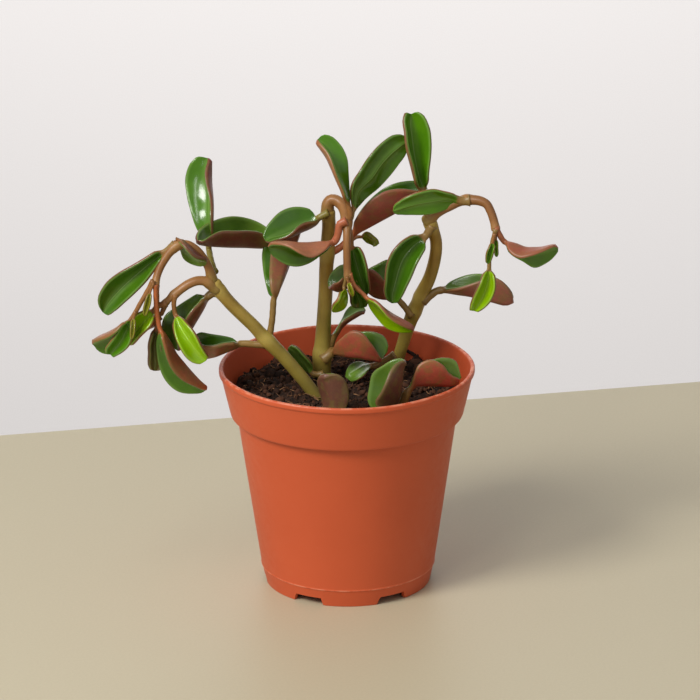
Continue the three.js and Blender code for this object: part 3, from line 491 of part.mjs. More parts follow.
// ---- soil: fills the pot to about 12 mm below the rim, with a lumpy top that is higher on the left
function soilHeight(x, y) {
  return SOIL_Z + 1.5 * Math.max(0, -x) / 50 + 0.8 * Math.sin(x * 0.21 + 1.3) * Math.cos(y * 0.17 + 0.4)
    + 0.5 * Math.sin(x * 0.43 - y * 0.37);
}
function soilSolid() {
  const seg = 36, radii = [0.97, 0.75, 0.5, 0.25];
  const rings = [];
  const ring = (f) => { const r = []; for (let j = 0; j < seg; j++) r.push(f(2 * Math.PI * j / seg)); return r; };
  const inset = SOIL_GAP / Math.cos(Math.PI / POT_SEGMENTS) + 0.15;
  for (const z of [FLOOR_TOP_Z + GAP, SEAM_Z + 0.5, COLLAR_BOTTOM_Z - 0.1, COLLAR_BOTTOM_Z + 1.8]) {
    const r = (z < COLLAR_BOTTOM_Z && z > SEAM_Z + 1 ? BODY_TOP_RADIUS - WALL : innerRadius(z)) - inset - (z < SEAM_Z ? 0.2 : 0);
    rings.push(ring((a) => new THREE.Vector3(r * Math.cos(a), r * Math.sin(a), z)));
  }
  const top = (z) => innerRadius(z) - inset;
  rings.push(ring((a) => { const r0 = top(SOIL_Z - 1), z = soilHeight(r0 * Math.cos(a), r0 * Math.sin(a)); const r = top(z - 0.4); return new THREE.Vector3(r * Math.cos(a), r * Math.sin(a), z); }));
  for (const f of radii) rings.push(ring((a) => { const r = f * (top(SOIL_Z) - 1), x = r * Math.cos(a), y = r * Math.sin(a); return new THREE.Vector3(x, y, soilHeight(x, y) + (f > 0.9 ? 0.2 : 0)); }));
  return toSolid(outward(loft(rings)));
}

// ---- assembly ------------------------------------------------------------------
const group = new THREE.Group();
group.name = 'potted_peperomia';
const mat = (color, roughness) => new THREE.MeshStandardMaterial({ color, roughness, metalness: 0 });
const MATERIALS = {
  pot: mat(0xb5532f, 0.55), soil: mat(0x2c211b, 0.95), stem: mat(0x75652a, 0.5), branch: mat(0x9b6032, 0.45),
  leaf: mat(0x2f5a1c, 0.35), young: mat(0x5f9a1c, 0.3),
};
function addPiece(name, solid, material) {
  const mesh = new THREE.Mesh(toGeometry(solid), material);
  mesh.name = name;
  group.add(mesh);
}

const pot = potSolid();
addPiece('pot', pot, MATERIALS.pot);

const pieces = [];   // finished plant pieces with their grown copies, used to keep the gap
function fitted(solid) {
  const box = solid.boundingBox();
  for (const q of pieces) {
    const b = q.box;
    if (b.min[0] > box.max[0] || b.max[0] < box.min[0] || b.min[1] > box.max[1] || b.max[1] < box.min[1] || b.min[2] > box.max[2] || b.max[2] < box.min[2]) continue;
    solid = solid.subtract(q.grown).subtract(q.body);
  }
  return largest(solid);
}
for (const S of STEMS) {
  const main = S.name.startsWith('stem');
  const body = fitted(toSolid(tube(S.pts, STEM_SIDES)));
  const grown = toSolid(tube(S.pts, CUT_STEM_SIDES, GAP + (main ? 0.12 : 0.08), GAP));
  pieces.push({ grown, body, box: grown.boundingBox() });
  addPiece(S.name, body, main ? MATERIALS.stem : MATERIALS.branch);
}
for (const L of LEAVES) {
  const body = fitted(toSolid(leafGeometry(L)));
  const grown = toSolid(leafGeometry(L, GAP));
  pieces.push({ grown, body, box: grown.boundingBox() });
  addPiece(L.name, body, /bright|young|bud/.test(L.name) ? MATERIALS.young : MATERIALS.leaf);
}
let soil = soilSolid();
for (const q of pieces) if (q.box.min[2] < SOIL_Z + 5) soil = soil.subtract(q.grown).subtract(q.body);
addPiece('soil', largest(soil), MATERIALS.soil);

export default group;
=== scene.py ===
import bpy
import math
import numpy as np
from mathutils import Vector, Matrix


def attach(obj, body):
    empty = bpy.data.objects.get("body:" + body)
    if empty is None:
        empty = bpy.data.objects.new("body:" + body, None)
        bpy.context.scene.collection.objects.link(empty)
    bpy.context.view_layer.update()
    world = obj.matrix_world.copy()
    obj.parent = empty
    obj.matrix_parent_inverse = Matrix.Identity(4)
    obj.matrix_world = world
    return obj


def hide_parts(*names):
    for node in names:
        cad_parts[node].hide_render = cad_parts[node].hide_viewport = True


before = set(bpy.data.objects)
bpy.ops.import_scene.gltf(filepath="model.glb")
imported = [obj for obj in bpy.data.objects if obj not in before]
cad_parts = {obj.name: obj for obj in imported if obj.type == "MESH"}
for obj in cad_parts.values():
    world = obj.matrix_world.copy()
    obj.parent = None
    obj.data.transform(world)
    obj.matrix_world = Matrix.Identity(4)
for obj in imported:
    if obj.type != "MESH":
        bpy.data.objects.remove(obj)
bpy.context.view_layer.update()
MM = 0.001

# ---------------------------------------------------------------- camera
FORWARD = Vector((0.0, math.cos(math.radians(19.3028)), -math.sin(math.radians(19.3028))))
TARGET = Vector((1.3566, 0.0, 99.7522)) * MM
CAMERA_AT = TARGET - FORWARD * 1.8
ROLL = -0.006128
cam_data = bpy.data.cameras.new("camera")
cam_data.sensor_width = 36.0
cam_data.sensor_fit = "HORIZONTAL"
cam_data.lens = 4381.92 / 700.0 * 36.0
cam_data.clip_start = 0.1
cam_data.clip_end = 20.0
cam = bpy.data.objects.new("camera", cam_data)
bpy.context.scene.collection.objects.link(cam)
right0 = Vector((1, 0, 0))
up0 = Vector((0.0, math.sin(math.radians(19.3028)), math.cos(math.radians(19.3028))))
right = right0 * math.cos(ROLL) + up0 * math.sin(ROLL)
up = -right0 * math.sin(ROLL) + up0 * math.cos(ROLL)
m = Matrix((
    (right.x, up.x, -FORWARD.x, CAMERA_AT.x),
    (right.y, up.y, -FORWARD.y, CAMERA_AT.y),
    (right.z, up.z, -FORWARD.z, CAMERA_AT.z),
    (0, 0, 0, 1)))
cam.matrix_world = m
bpy.context.scene.camera = cam

# ---------------------------------------------------------------- the plant's shape, in millimetres
# Each leaf: petiole radius, blade thickness, petiole points, then midrib K and margins A and B at
# the same eight stations. Each stem: x, y, z, radius.
STEMS = [
    ("stem_centre", [(-9.98,15,76.07,3.9), (-10.34,15,82.25,3.9), (-10.06,15,92.38,3.8), (-9.56,15,103.34,3.19), (-9.08,15,112.07,2.98), (-8.6,15,120.78,2.92), (-8.32,14.5,129.63,2.88), (-7.86,14,135.85,2.88), (-7.4,13.5,142.92,2.77), (-6.94,13,149.53,2.77), (-7.3,12,155.43,2.67)]),
    ("branch_centre", [(-7.5,12,156.29,2.36), (-7.27,12,158.86,2.36), (-6.03,12,160.48,2.26), (-4.19,11.5,160.58,2.18), (-1.95,10,159.45,2.18), (-0.26,6,157.28,2.18), (0.25,1,154.59,2.14), (0.44,-2,152.56,1.64), (0.33,-4,148.51,1.44), (0.37,-5,142.43,1.44), (0.54,-5.5,136.17,1.44), (0.72,-5.8,133.27,1.36)]),
    ("stem_left", [(-10.32,-4,75.93,2.67), (-12.34,-4,79.88,2.67), (-16,-4,85.59,2.67), (-20.86,-4.5,92.34,2.67), (-26.1,-5.5,99.25,2.75), (-31.34,-6.5,105.27,2.96), (-34.17,-6.5,108.32,2.79), (-37.79,-6.5,112.67,2.71), (-42.21,-6.8,117.33,2.71), (-46.63,-7,121.95,2.71), (-50.61,-7.5,126.87,2.71), (-53.79,-8,131.35,2.67)]),
    ("branch_left_upper", [(-54.93,-8.5,134.95,1.95), (-55.68,-9,138.12,1.69), (-57.98,-10.5,143.32,1.64), (-61.1,-12,147.74,1.6), (-64.66,-13,150.13,1.54), (-67.89,-13.5,149.68,1.64), (-70.33,-14,147.94,1.6), (-73.2,-14.8,144.4,1.52), (-75.25,-15.8,140.91,1.48), (-76.57,-17,137.48,1.44), (-77.19,-18,134.84,1.44)]),
    ("branch_left_lower", [(-54.16,-9.5,130.57,1.85), (-56.93,-10.5,133.28,1.77), (-60.16,-11,133.76,1.75), (-63.41,-11.5,132.79,1.73), (-66.67,-12,130.84,1.69), (-69.52,-12.8,128.78,1.64), (-72.39,-13.3,126.39,1.23), (-74.86,-13.5,124.33,1.13)]),
    ("stem_right", [(18.82,25,74.94,2.67), (19.87,24,79.73,2.57), (21.75,23,88.92,2.47), (23.83,22,96.31,2.57), (25.91,21,103.23,2.77), (28.38,19.5,110.3,2.92), (30.23,18.5,115,2.88), (31.87,17.5,119.68,2.79), (33.91,16.5,124.36,2.67), (35.33,15.5,129.02,2.59), (36.34,14.5,133.67,2.55), (36.93,13.5,138.32,2.51), (36.83,12.5,142.96,2.47), (35.65,11,147.75,2.57), (34.4,10,151.51,2.67)]),
    ("branch_right", [(34.8,9.5,153.38,2.36), (36.42,9,155.03,2.05), (39.27,8.5,157.09,1.85), (42.52,8,158.94,1.85), (45.77,7.5,160.79,1.89), (48.2,7,161.78,1.97), (51.43,6,162.16,1.91), (54.66,5,162.02,1.85), (57.28,4,160.95,1.69), (58.89,3,158.27,1.6), (60.17,2,154.74,1.6), (61.01,1,151.21,1.52)]),
]
LEAVES = [
    ("leaf_left_mid", 1.1, 1.5,
     [(-9.89,14,138.89), (-18.92,14,139.6), (-25.08,14,139.85)],
     [(-29.19,14,140.2), (-31.898,14.705,140.557), (-36.102,14.584,140.581), (-41.333,12.797,141.392), (-46.804,8.229,142.983), (-52.213,3.02,144.961), (-57.08,-3.83,147.841), (-59.294,-8.56,150.121)],
     [(-29.17,14,141.6), (-31.279,10.251,145.087), (-34.809,8.005,148.335), (-39.965,5.167,150.738), (-45.505,0.653,151.933), (-51.026,-3.449,152.484), (-55.793,-7.72,151.651), (-58.377,-10.41,151.081)],
     [(-29.15,14,143.76), (-31.089,16.534,146.142), (-34.948,17.282,149.147), (-40.768,15.721,152.054), (-47.191,10.837,154.246), (-53.41,5.32,154.251), (-58.406,-2.22,153.311), (-59.873,-7.68,151.861)]),
    ("leaf_left_arch_small", 1, 1.5,
     [(-68.72,-12.5,150.42)],
     [(-68.32,-12.5,151.92), (-67.2,-13.29,151.03), (-65.71,-13.71,149.92), (-63.97,-14.02,148.33), (-62.04,-14.31,146.42), (-59.95,-14.54,144.61), (-57.8,-14.49,143.31), (-56.64,-14.26,142.78)],
     [(-68.5,-12.5,151.27), (-67.37,-16.64,151.53), (-66.06,-18.84,150.56), (-64.58,-20.1,148.84), (-62.53,-20.21,147.12), (-60.24,-19.27,145.49), (-57.94,-17.37,144.05), (-56.66,-15.7,143.04)],
     [(-68.32,-12.5,149.99), (-67.7,-10.02,147.69), (-66.99,-9,145.07), (-66.09,-8.65,142.16), (-63.95,-9,139.98), (-61.11,-9.99,139.26), (-58.17,-11.55,139.8), (-56.75,-12.81,141.05)]),
    ("leaf_left_upright", 1.25, 1.5,
     [(-53.82,-4,136.03), (-55.354,2.719,138.817)],
     [(-56.03,6.937,140.769), (-56.554,7.11,144.547), (-56.464,8.33,149.287), (-56.021,10.94,154.857), (-56.021,15.46,160.257), (-56.464,19,166.007), (-56.424,21.27,171.767), (-56.454,22.42,174.687)],
     [(-56.03,6.937,140.769), (-55.639,2.89,145.637), (-55.347,2.11,151.027), (-55.518,3.54,156.887), (-56.313,8.2,162.107), (-57.771,13.06,167.147), (-57.983,17.72,172.037), (-57.118,20.69,174.547)],
     [(-56.836,7,141.607), (-58.797,8.75,144.657), (-61.493,10.81,149.297), (-63.605,13.66,155.397), (-65.425,18.12,161.617), (-65.868,21.27,168.417), (-62.85,22.87,174.557), (-59.3,23.25,176.137)]),
    ("leaf_centre_left_upper", 1.3, 1.5,
     [(-8.1,8,155.84), (-9.74,8,155)],
     [(-10.97,8,154.31), (-12.28,6.94,153.5), (-14.94,6.24,151.85), (-18.59,5.17,150.59), (-22.48,3.85,149.28), (-26.5,2.27,148.44), (-30.47,0.54,148.13), (-32.3,-0.09,147.45)],
     [(-10.97,8,155.01), (-12.64,2.18,155.45), (-15.66,-1.15,155.71), (-19.17,-3.5,154.87), (-22.49,-4.57,152.7), (-26.05,-4.52,150.58), (-29.7,-3.37,148.83), (-31.83,-2.01,147.82)],
     [(-10.96,8,156.29), (-13.42,8.74,157.34), (-17.15,8.58,158.73), (-22.01,7.83,159.03), (-26.79,6.53,157.46), (-30.5,4.67,154.33), (-33.23,2.39,150.81), (-33.74,0.85,148.55)]),
    ("leaf_left_fork_upright", 1.3, 1.5,
     [(-31.33,-5,108.65), (-30.21,-5,116.42), (-29.97,-5,119.87)],
     [(-29.75,-5,122.92), (-29.08,-4.8,125.89), (-27.448,-3.472,130.062), (-25.37,1.804,133.893), (-23.238,8.463,137.575), (-21.14,11.32,142.588), (-19.592,12.41,147.958), (-20.024,12.84,151.128)],
     [(-30.75,-5,122.46), (-31.08,-6.37,126.48), (-31.522,-5.113,131.179), (-31.368,1.011,135.392), (-30.861,6.743,140.123), (-29.021,8.99,145.888), (-25.583,10.96,150.358), (-22.96,12.14,152.268)],
     [(-31.18,-5,120.74), (-31.94,-3.5,124.24), (-33.085,-1.907,129.458), (-34.193,4.578,134.376), (-34.368,11.526,139.667), (-31.635,13.01,146.228), (-26.76,13.48,151.198), (-23.261,13.39,152.978)]),
    ("leaf_centre_drooping", 1.5, 1.5,
     [(-0.76,-3,155.87), (-2.39,-3,155.03), (-2.98,-3,152.05), (-3.73,-3,149.07)],
     [(-4.81,-3,147.34), (-7.02,-4.63,146.66), (-10.57,-5.76,146.98), (-15,-7,147.06), (-19.71,-8.43,147.55), (-24.35,-8.87,148), (-28.73,-8,147.56), (-30.96,-6.79,146.69)],
     [(-4.48,-3,146.72), (-6.51,-8.44,146.62), (-9.41,-11.82,144.98), (-13.74,-14.17,143.97), (-18.6,-15.29,146.03), (-23.19,-14.29,148.07), (-27.9,-11.15,148.18), (-30.64,-8.32,147.3)],
     [(-4.89,-3,146.08), (-6.82,-2.45,143.68), (-10,-2.93,141.03), (-14.2,-3.82,138.4), (-19.45,-5.14,137.5), (-24.73,-5.89,138.74), (-29.09,-5.89,141.44), (-30.92,-5.7,143.64)]),
    ("leaf_left_big", 1.5, 1.5,
     [(-69.93,-13,149.31)],
     [(-72.4,-13,147.21), (-75.09,-12.73,145.1), (-79.01,-12.38,142.13), (-83.57,-12.08,138.14), (-88.33,-12,133.86), (-92.83,-12,129.3), (-96.71,-12,124.62), (-98.48,-12,121.67)],
     [(-72.77,-13,148.02), (-76.04,-15.37,147.31), (-80.61,-16.3,144.89), (-86.26,-16.63,141.62), (-92.21,-16.46,137.81), (-97.62,-15.69,132.89), (-100.63,-14.31,126.4), (-99.73,-13.15,122.39)],
     [(-72.36,-13,147.29), (-74.62,-15.76,145.64), (-77.4,-16.87,141.79), (-81.1,-17.31,136.94), (-85.48,-17.12,131.9), (-90.07,-16.24,126.78), (-94.71,-14.66,122.03), (-97.93,-13.32,120.2)]),
    ("leaf_left_tip_back", 0.9, 1.5,
     [(-78.93,-18,134.64), (-81.45,-18,130.17), (-83.98,-18,125.49), (-86.09,-18,121.65)],
     [(-87.55,-18,119.72), (-88.47,-18.53,117.61), (-90.28,-18.53,115.93), (-93.06,-18.2,114.45), (-96.04,-17.92,112.75), (-99.18,-17.54,111.29), (-101.8,-17.06,109.51), (-102.96,-16.42,108.66)],
     [(-87.56,-18,119.31), (-88.49,-22.76,119.7), (-90.13,-24.89,118.7), (-92.21,-25.77,116.84), (-95.02,-25.26,115.12), (-97.85,-23.48,112.86), (-100.7,-20.58,110.53), (-102.46,-18.22,109.29)],
     [(-87.57,-18,118.66), (-88.29,-15.85,115.61), (-89.46,-14.63,111.95), (-91.51,-13.83,107.96), (-94.25,-13.56,104.3), (-98.2,-13.8,102.84), (-101.59,-14.51,104.92), (-102.73,-15.2,107.17)]),
    ("leaf_left_tip_front", 0.95, 1.5,
     [(-78.44,-19.5,135.77), (-80.96,-19.5,131.1), (-83.48,-19.5,126.85), (-85.8,-19.5,122.59)],
     [(-87.06,-19.5,120.67), (-87.61,-19.9,119.3), (-88.5,-20.43,117.34), (-89.76,-20.88,114.94), (-91.07,-21,112.23), (-92.78,-21,109.74), (-94.55,-21,107.51), (-95.52,-21,106.23)],
     [(-87.64,-19.5,120.47), (-88.59,-22.14,120), (-90.09,-23.75,118.58), (-91.97,-24.75,116.49), (-93.92,-24.79,113.81), (-95.86,-24.14,110.87), (-97.45,-22.97,107.63), (-96.94,-21.98,105.92)],
     [(-86.4,-19.5,120.67), (-86.18,-22.02,119.65), (-86.36,-23.57,117.48), (-87.28,-24.54,114.6), (-88.58,-24.59,111.3), (-90.94,-23.97,108.45), (-93.63,-22.86,106.17), (-95.37,-21.93,105.22)]),
    ("leaf_left_lower_end", 1.2, 1.5,
     [(-74.02,-14,124.93), (-76.47,-14,124.09)],
     [(-78.13,-14,122.17), (-79.22,-14.13,120.93), (-80.79,-14.31,119.14), (-82.71,-14.46,116.9), (-84.73,-14.5,114.45), (-86.63,-14.5,111.87), (-88.25,-14.5,109.32), (-89.12,-14.5,107.85)],
     [(-78.89,-14,123.28), (-80.29,-16.79,123.19), (-82.51,-18.25,122.34), (-85.34,-19.04,121.05), (-87.56,-18.99,118.26), (-89.01,-18.22,114.68), (-89.96,-16.83,110.91), (-89.91,-15.66,108.61)],
     [(-77.77,-14,121.14), (-78.39,-17.29,120.86), (-79.44,-19,119.42), (-80.86,-19.92,117.28), (-82.78,-19.85,114.96), (-84.96,-18.93,112.53), (-86.96,-17.27,109.88), (-88.17,-15.88,108.28)]),
    ("leaf_left_lower_outer", 1, 1.5,
     [(-73.27,-12.5,124.41), (-74.33,-12.5,122.28)],
     [(-75.17,-12.5,120.24), (-76.03,-11.67,120.05), (-76.87,-11.18,118.77), (-77.79,-10.72,116.95), (-79.13,-10.16,115.49), (-80.72,-9.54,114.54), (-82.2,-9.11,113.73), (-82.92,-8.91,113.65)],
     [(-75.77,-12.5,121.64), (-76.45,-15.34,122.24), (-77.53,-16.46,122.02), (-78.75,-16.71,121.14), (-79.94,-16.03,119.64), (-81.2,-14.49,117.87), (-82.4,-12.22,115.92), (-83.03,-10.48,114.58)],
     [(-74.98,-12.5,120.35), (-75.72,-8.64,118.34), (-76.67,-6.51,116.64), (-77.9,-5.13,115.09), (-79.28,-4.68,113.96), (-80.72,-5.1,113.3), (-82.07,-6.34,113.05), (-82.81,-7.55,113.1)]),
    ("bud_left_tip", 0.55, 0.8,
     [(-78.24,-20,134.87), (-78.87,-20,133.39)],
     [(-79.3,-20,132.11), (-79.51,-20.18,131.25), (-79.82,-20.44,130.01), (-80.19,-20.76,128.49), (-80.58,-21.1,126.86), (-80.97,-21.44,125.24), (-81.33,-21.76,123.71), (-81.54,-21.94,122.85)],
     [(-79.55,-20,131.7), (-79.8,-21.06,131.24), (-80.21,-21.74,130.28), (-80.73,-22.28,128.99), (-81.28,-22.59,127.52), (-81.69,-22.67,125.94), (-81.85,-22.53,124.34), (-81.89,-22.32,123.38)],
     [(-79.08,-20,131.7), (-79.12,-21.07,131.17), (-79.23,-21.77,130.12), (-79.44,-22.3,128.73), (-79.76,-22.61,127.18), (-80.23,-22.69,125.58), (-80.8,-22.54,124.05), (-81.16,-22.33,123.15)]),
    ("bud_left_front", 0.5, 0.7,
     [(-85.7,-21.5,123.06)],
     [(-86.1,-21.5,121.57), (-86.19,-22.03,120.94), (-86.31,-22.74,120.02), (-86.39,-23.51,118.84), (-86.44,-24.18,117.54), (-86.56,-24.77,116.21), (-86.78,-25.23,114.94), (-86.93,-25.44,114.21)],
     [(-86.33,-21.5,121.36), (-86.51,-22.74,121.06), (-86.75,-23.79,120.36), (-86.9,-24.74,119.36), (-86.92,-25.39,118.15), (-86.93,-25.76,116.83), (-86.99,-25.85,115.51), (-87.05,-25.75,114.72)],
     [(-85.86,-21.5,121.56), (-85.79,-22.73,121.18), (-85.73,-23.78,120.38), (-85.71,-24.72,119.27), (-85.79,-25.38,117.97), (-86.05,-25.75,116.61), (-86.45,-25.84,115.27), (-86.71,-25.75,114.47)]),
    ("leaf_left_drooping", 0.95, 1.5,
     [(-77.09,-19,133.89), (-77.08,-19,128.35), (-76.71,-19,122.36), (-76.14,-19,118.5)],
     [(-75.82,-19,116.64), (-75.08,-18.97,113.63), (-72.97,-17.8,109.48), (-70.65,-16.35,104.12), (-67.24,-14.79,98.99), (-63.72,-13.25,93.91), (-60.33,-11.78,89.25), (-58.29,-10.62,86.96)],
     [(-76.19,-19,116.36), (-75.73,-22.95,114.47), (-74.99,-24.09,110.2), (-73.6,-23.81,104.5), (-70.75,-22.11,98.59), (-66.65,-19.19,93.29), (-61.98,-15.26,89.11), (-59.19,-12.35,86.86)],
     [(-76.84,-19,115.94), (-77.42,-17,111.44), (-77.66,-15.26,105.27), (-76.88,-13.53,97.89), (-74.07,-12.04,90.83), (-68.94,-10.85,85.76), (-62.6,-10.04,84.29), (-59.04,-9.75,84.85)]),
    ("leaf_left_drooping_back", 0.95, 1.5,
     [(-76.85,-13,131.46), (-76.82,-13,124.61), (-76.95,-13,118.6)],
     [(-77.28,-13,114.3), (-77.58,-12.46,112.46), (-77.97,-11.68,109.8), (-78.29,-10.72,106.49), (-78.46,-9.7,102.96), (-78.51,-8.68,99.42), (-78.48,-7.72,96.08), (-78.75,-7.18,94.22)],
     [(-77.76,-13,113.89), (-78.15,-15.67,113.16), (-78.75,-16.44,111.01), (-79.21,-16.26,107.89), (-79.46,-15.13,104.21), (-80.22,-13.17,100.3), (-80.24,-10.54,96.32), (-79.39,-8.58,94.24)],
     [(-76.9,-13,113.47), (-76.62,-15.58,112.68), (-76.35,-16.31,110.51), (-76.14,-16.11,107.47), (-76.02,-14.98,103.91), (-75.96,-13.05,99.95), (-76.63,-10.46,96.13), (-77.61,-8.54,94.03)]),
    ("leaf_left_bright", 0.95, 1.5,
     [(-69.56,-14.5,127.85), (-70.01,-14.5,125.5), (-69.9,-14.5,122.93)],
     [(-69.53,-14.5,120.78), (-68.85,-16.25,119.29), (-67.68,-18.46,117.12), (-65.8,-20.56,114.47), (-63.58,-22.46,111.7), (-61.29,-23,108.56), (-58.98,-23,105.55), (-57.56,-23,103.97)],
     [(-69.7,-14.5,120.37), (-69.56,-18.81,119.35), (-69.25,-22.27,116.95), (-68.43,-24.99,113.54), (-66.71,-26.8,109.82), (-64.17,-26.59,105.92), (-60.75,-25.25,103.17), (-58.49,-24.12,102.87)],
     [(-69.14,-14.5,120.98), (-67.56,-19.62,121.09), (-65.66,-23.47,119.87), (-63.45,-26.39,117.68), (-61.18,-28.18,114.9), (-59.17,-27.73,111.22), (-57.42,-25.96,107.2), (-56.63,-24.47,104.7)]),
    ("leaf_left_under", 1.6, 1.5,
     [(-53.47,-7,127.15), (-54.7,-7,126.95)],
     [(-56.28,-7,125.81), (-57.88,-7.75,124.64), (-59.55,-8.07,121.4), (-61.71,-8.45,117.64), (-64.07,-8.82,113.74), (-66.37,-9.16,109.75), (-68.55,-9.44,106.05), (-68.93,-9.2,103.7)],
     [(-56.74,-7,126.4), (-58.75,-13.5,127.59), (-60.81,-16.82,125.99), (-63.22,-18.68,122.97), (-65.9,-18.8,119.2), (-67.95,-17.29,114.39), (-69.09,-14.31,109.02), (-69.12,-11.7,105.59)],
     [(-56.72,-7,127.6), (-60.09,-5.83,126.95), (-64.42,-5.43,124.4), (-69.43,-5.43,120.98), (-74.44,-5.81,116.97), (-75.5,-6.55,110.85), (-72.65,-7.57,105.65), (-70.38,-8.35,103.31)]),
    ("leaf_left_fork_low", 1.4, 1.5,
     [(-34.61,-7,104.82), (-38.7,-7,104.98), (-41.15,-7,105.3)],
     [(-43.6,-7,105.17), (-45.36,-7.3,104.91), (-47.98,-7.46,103.93), (-51.28,-7.47,102.52), (-54.8,-7.4,101.08), (-58.51,-6.66,100.29), (-61.76,-5.43,101.32), (-62.91,-4.52,102.08)],
     [(-43.59,-7,105.96), (-45.2,-11.44,108.04), (-47.71,-13.58,108.36), (-50.88,-14.66,108.32), (-54.29,-14.47,108.1), (-57.74,-12.47,107.32), (-61.13,-8.95,105.76), (-62.68,-6.21,103.72)],
     [(-43.58,-7,106.61), (-45.6,-5.87,107.12), (-48.62,-5.32,107.83), (-52.42,-5.04,108.42), (-56.48,-5.04,108.99), (-60.58,-4.67,109.21), (-63.29,-4.06,106.4), (-63.43,-3.77,104)]),
    ("leaf_top_left", 1.1, 1.5,
     [(0.04,0,154.06), (1.69,0,157.46)],
     [(1.1,0,161.34), (0.91,0.23,164.13), (-0.22,0.84,168.11), (-2.1,1.71,172.66), (-4.22,2.67,177.32), (-6.49,3.67,181.97), (-9.29,4.7,185.9), (-10.79,5.55,187.74)],
     [(1.31,0,161.72), (0.59,-3.92,165.66), (-0.52,-5.29,169.97), (-1.96,-5.42,174.76), (-3.61,-4.24,179.4), (-5.76,-1.92,183.49), (-8.35,1.37,186.69), (-10.07,3.87,188.09)],
     [(2.12,0,160.86), (2.3,2.35,163.64), (2.1,4.01,168.2), (1.63,5.41,173.99), (0.79,6.37,180.27), (-2.02,6.86,186.02), (-6.64,6.87,189.89), (-9.9,6.61,189.58)]),
    ("leaf_top_mid", 1.1, 1.5,
     [(0.24,2,152.56), (1.89,2,155.54)],
     [(2.72,2,158.88), (3.94,2.5,160.75), (4.96,2.36,166.76), (10.69,4.61,172.06), (14.17,5.26,177.13), (18.35,6.41,181.55), (22.85,7.71,184.97), (24.89,8.63,186.09)],
     [(2.52,2.044,158.935), (2.56,0.633,163.636), (3.22,-1.999,170.484), (6.42,0.946,175.933), (10.23,2.015,182.153), (15.03,4.607,187.033), (20.98,7.392,189.588), (24.57,8.375,188.239)],
     [(3.32,1.376,158.099), (5.48,5.737,159.163), (8.86,4.945,163.058), (13.43,8.02,166.01), (17.61,7.886,171.092), (21.57,8.169,176.268), (25.08,8.461,181.376), (25.77,9.278,184.626)]),
    ("leaf_top_right", 1.6, 1.5,
     [(33.97,9,154.4), (32.34,9,159.55)],
     [(31.44,9,164.25), (31.1,9.18,167.27), (29.75,9.44,171.42), (28.54,9.76,176.65), (27.57,10.1,182.28), (26.89,10.44,187.92), (26.33,10.76,193.27), (26.62,10.94,196.23)],
     [(29.95,9,164.26), (29.5,4.62,168.88), (28.36,2.67,174.08), (27.3,1.89,180.03), (26.24,2.38,185.94), (25.35,4.05,191.53), (24.35,6.76,196.41), (25.74,8.95,198.34)],
     [(32.93,9,164.24), (33.12,6.58,168.51), (33.51,5.58,173.87), (34.07,5.27,180.16), (34.22,5.7,186.65), (33.6,6.8,192.91), (30.92,8.48,197.81), (27.93,9.81,198.3)]),
    ("leaf_back_big", 1.5, 1.5,
     [(-6.21,14,137.14), (-3.73,14,138.63), (-0.84,14,140.77)],
     [(1.93,14,144.18), (4.29,13.54,146.72), (8.53,13.09,149.04), (13.79,12.96,151.96), (19.41,12.94,155.07), (24.89,12.93,158.47), (29.85,13.3,161.98), (32.65,13.75,163.21)],
     [(1.65,14,145.72), (2.6,10.51,150.6), (5.26,8.56,156.06), (9.06,7.65,161.92), (14.99,7.76,165.69), (21.9,8.7,166.33), (28.48,10.76,165.2), (32.19,12.51,164.26)],
     [(1.66,14,146.58), (2.97,15.79,149.88), (5.8,16.4,154.76), (10.5,16.78,159.98), (16.43,16.7,164.53), (23.33,16.1,167.1), (30.2,15.4,167.13), (33.32,14.82,164.98)]),
    ("leaf_right_top", 1.9, 1.5,
     [(49.39,6,161.87)],
     [(47.93,6,161.74), (44.24,5.18,162.33), (40.5,4.14,162.82), (36.39,2.9,162.72), (31.21,1.89,162.17), (26.16,0.95,161.29), (21.77,0.35,160.07), (19.74,0.08,159.52)],
     [(47.35,6.705,162.623), (44.67,2.924,164.489), (40.76,0.754,166.176), (36.05,-0.163,168.019), (30.85,-0.926,167.618), (25.9,-1.392,165.873), (21.56,-0.848,163.138), (19.47,-0.41,161.038)],
     [(47.77,5.289,160.849), (45.27,6.606,159.067), (41.65,5.949,157.793), (37.12,4.664,156.756), (32.16,3.662,156.392), (27.16,2.433,156.625), (22.51,1.315,157.047), (20.01,0.594,157.92)]),
    ("leaf_right_mid", 1.6, 1.5,
     [(34.77,8,149.57)],
     [(32.73,8,146.37), (30.47,7.12,144.7), (27.21,5.96,142.24), (23.82,4.73,138.54), (21.63,3.74,133.53), (20.18,2.92,128.21), (18.94,2.31,123.07), (18.83,2.06,120.09)],
     [(31.94,8,146.99), (28.61,3.34,147.9), (24.2,0.34,146.86), (20.29,-1.81,143.02), (17.75,-2.67,137.29), (16.54,-2.39,130.76), (16.08,-1.01,124.11), (17.68,0.41,120.62)],
     [(33.12,8,144.92), (32.59,4.12,143.36), (30.88,1.49,140.5), (28.52,-0.47,136.65), (26.25,-1.36,132.08), (23.92,-1.3,127.21), (22,-0.33,122.18), (20.27,0.75,119.67)]),
    ("leaf_right_behind", 1.3, 1.5,
     [(26.27,17,109.42), (23.79,17,112.93)],
     [(21.54,17,115.61), (20.5,15.93,117.17), (18.18,15.09,117.92), (15.12,14.23,118.11), (12.02,13.44,118.92), (9.41,12.75,121.4), (7.51,12.11,124.11), (6.79,11.89,125.08)],
     [(21.11,17,116.87), (19.76,11.74,120.39), (17.96,8.66,124.01), (15.87,6.6,127.96), (13.01,5.91,131.04), (9.5,6.51,132.63), (7,8.32,129.51), (6.57,10.07,126.73)],
     [(22.15,17,117.3), (23.15,17.84,119.93), (23.26,17.71,124.32), (21.69,17.14,129.76), (17.56,16.23,133.49), (12.57,15.06,131.56), (8.25,13.67,128.99), (6.75,12.73,126.81)]),
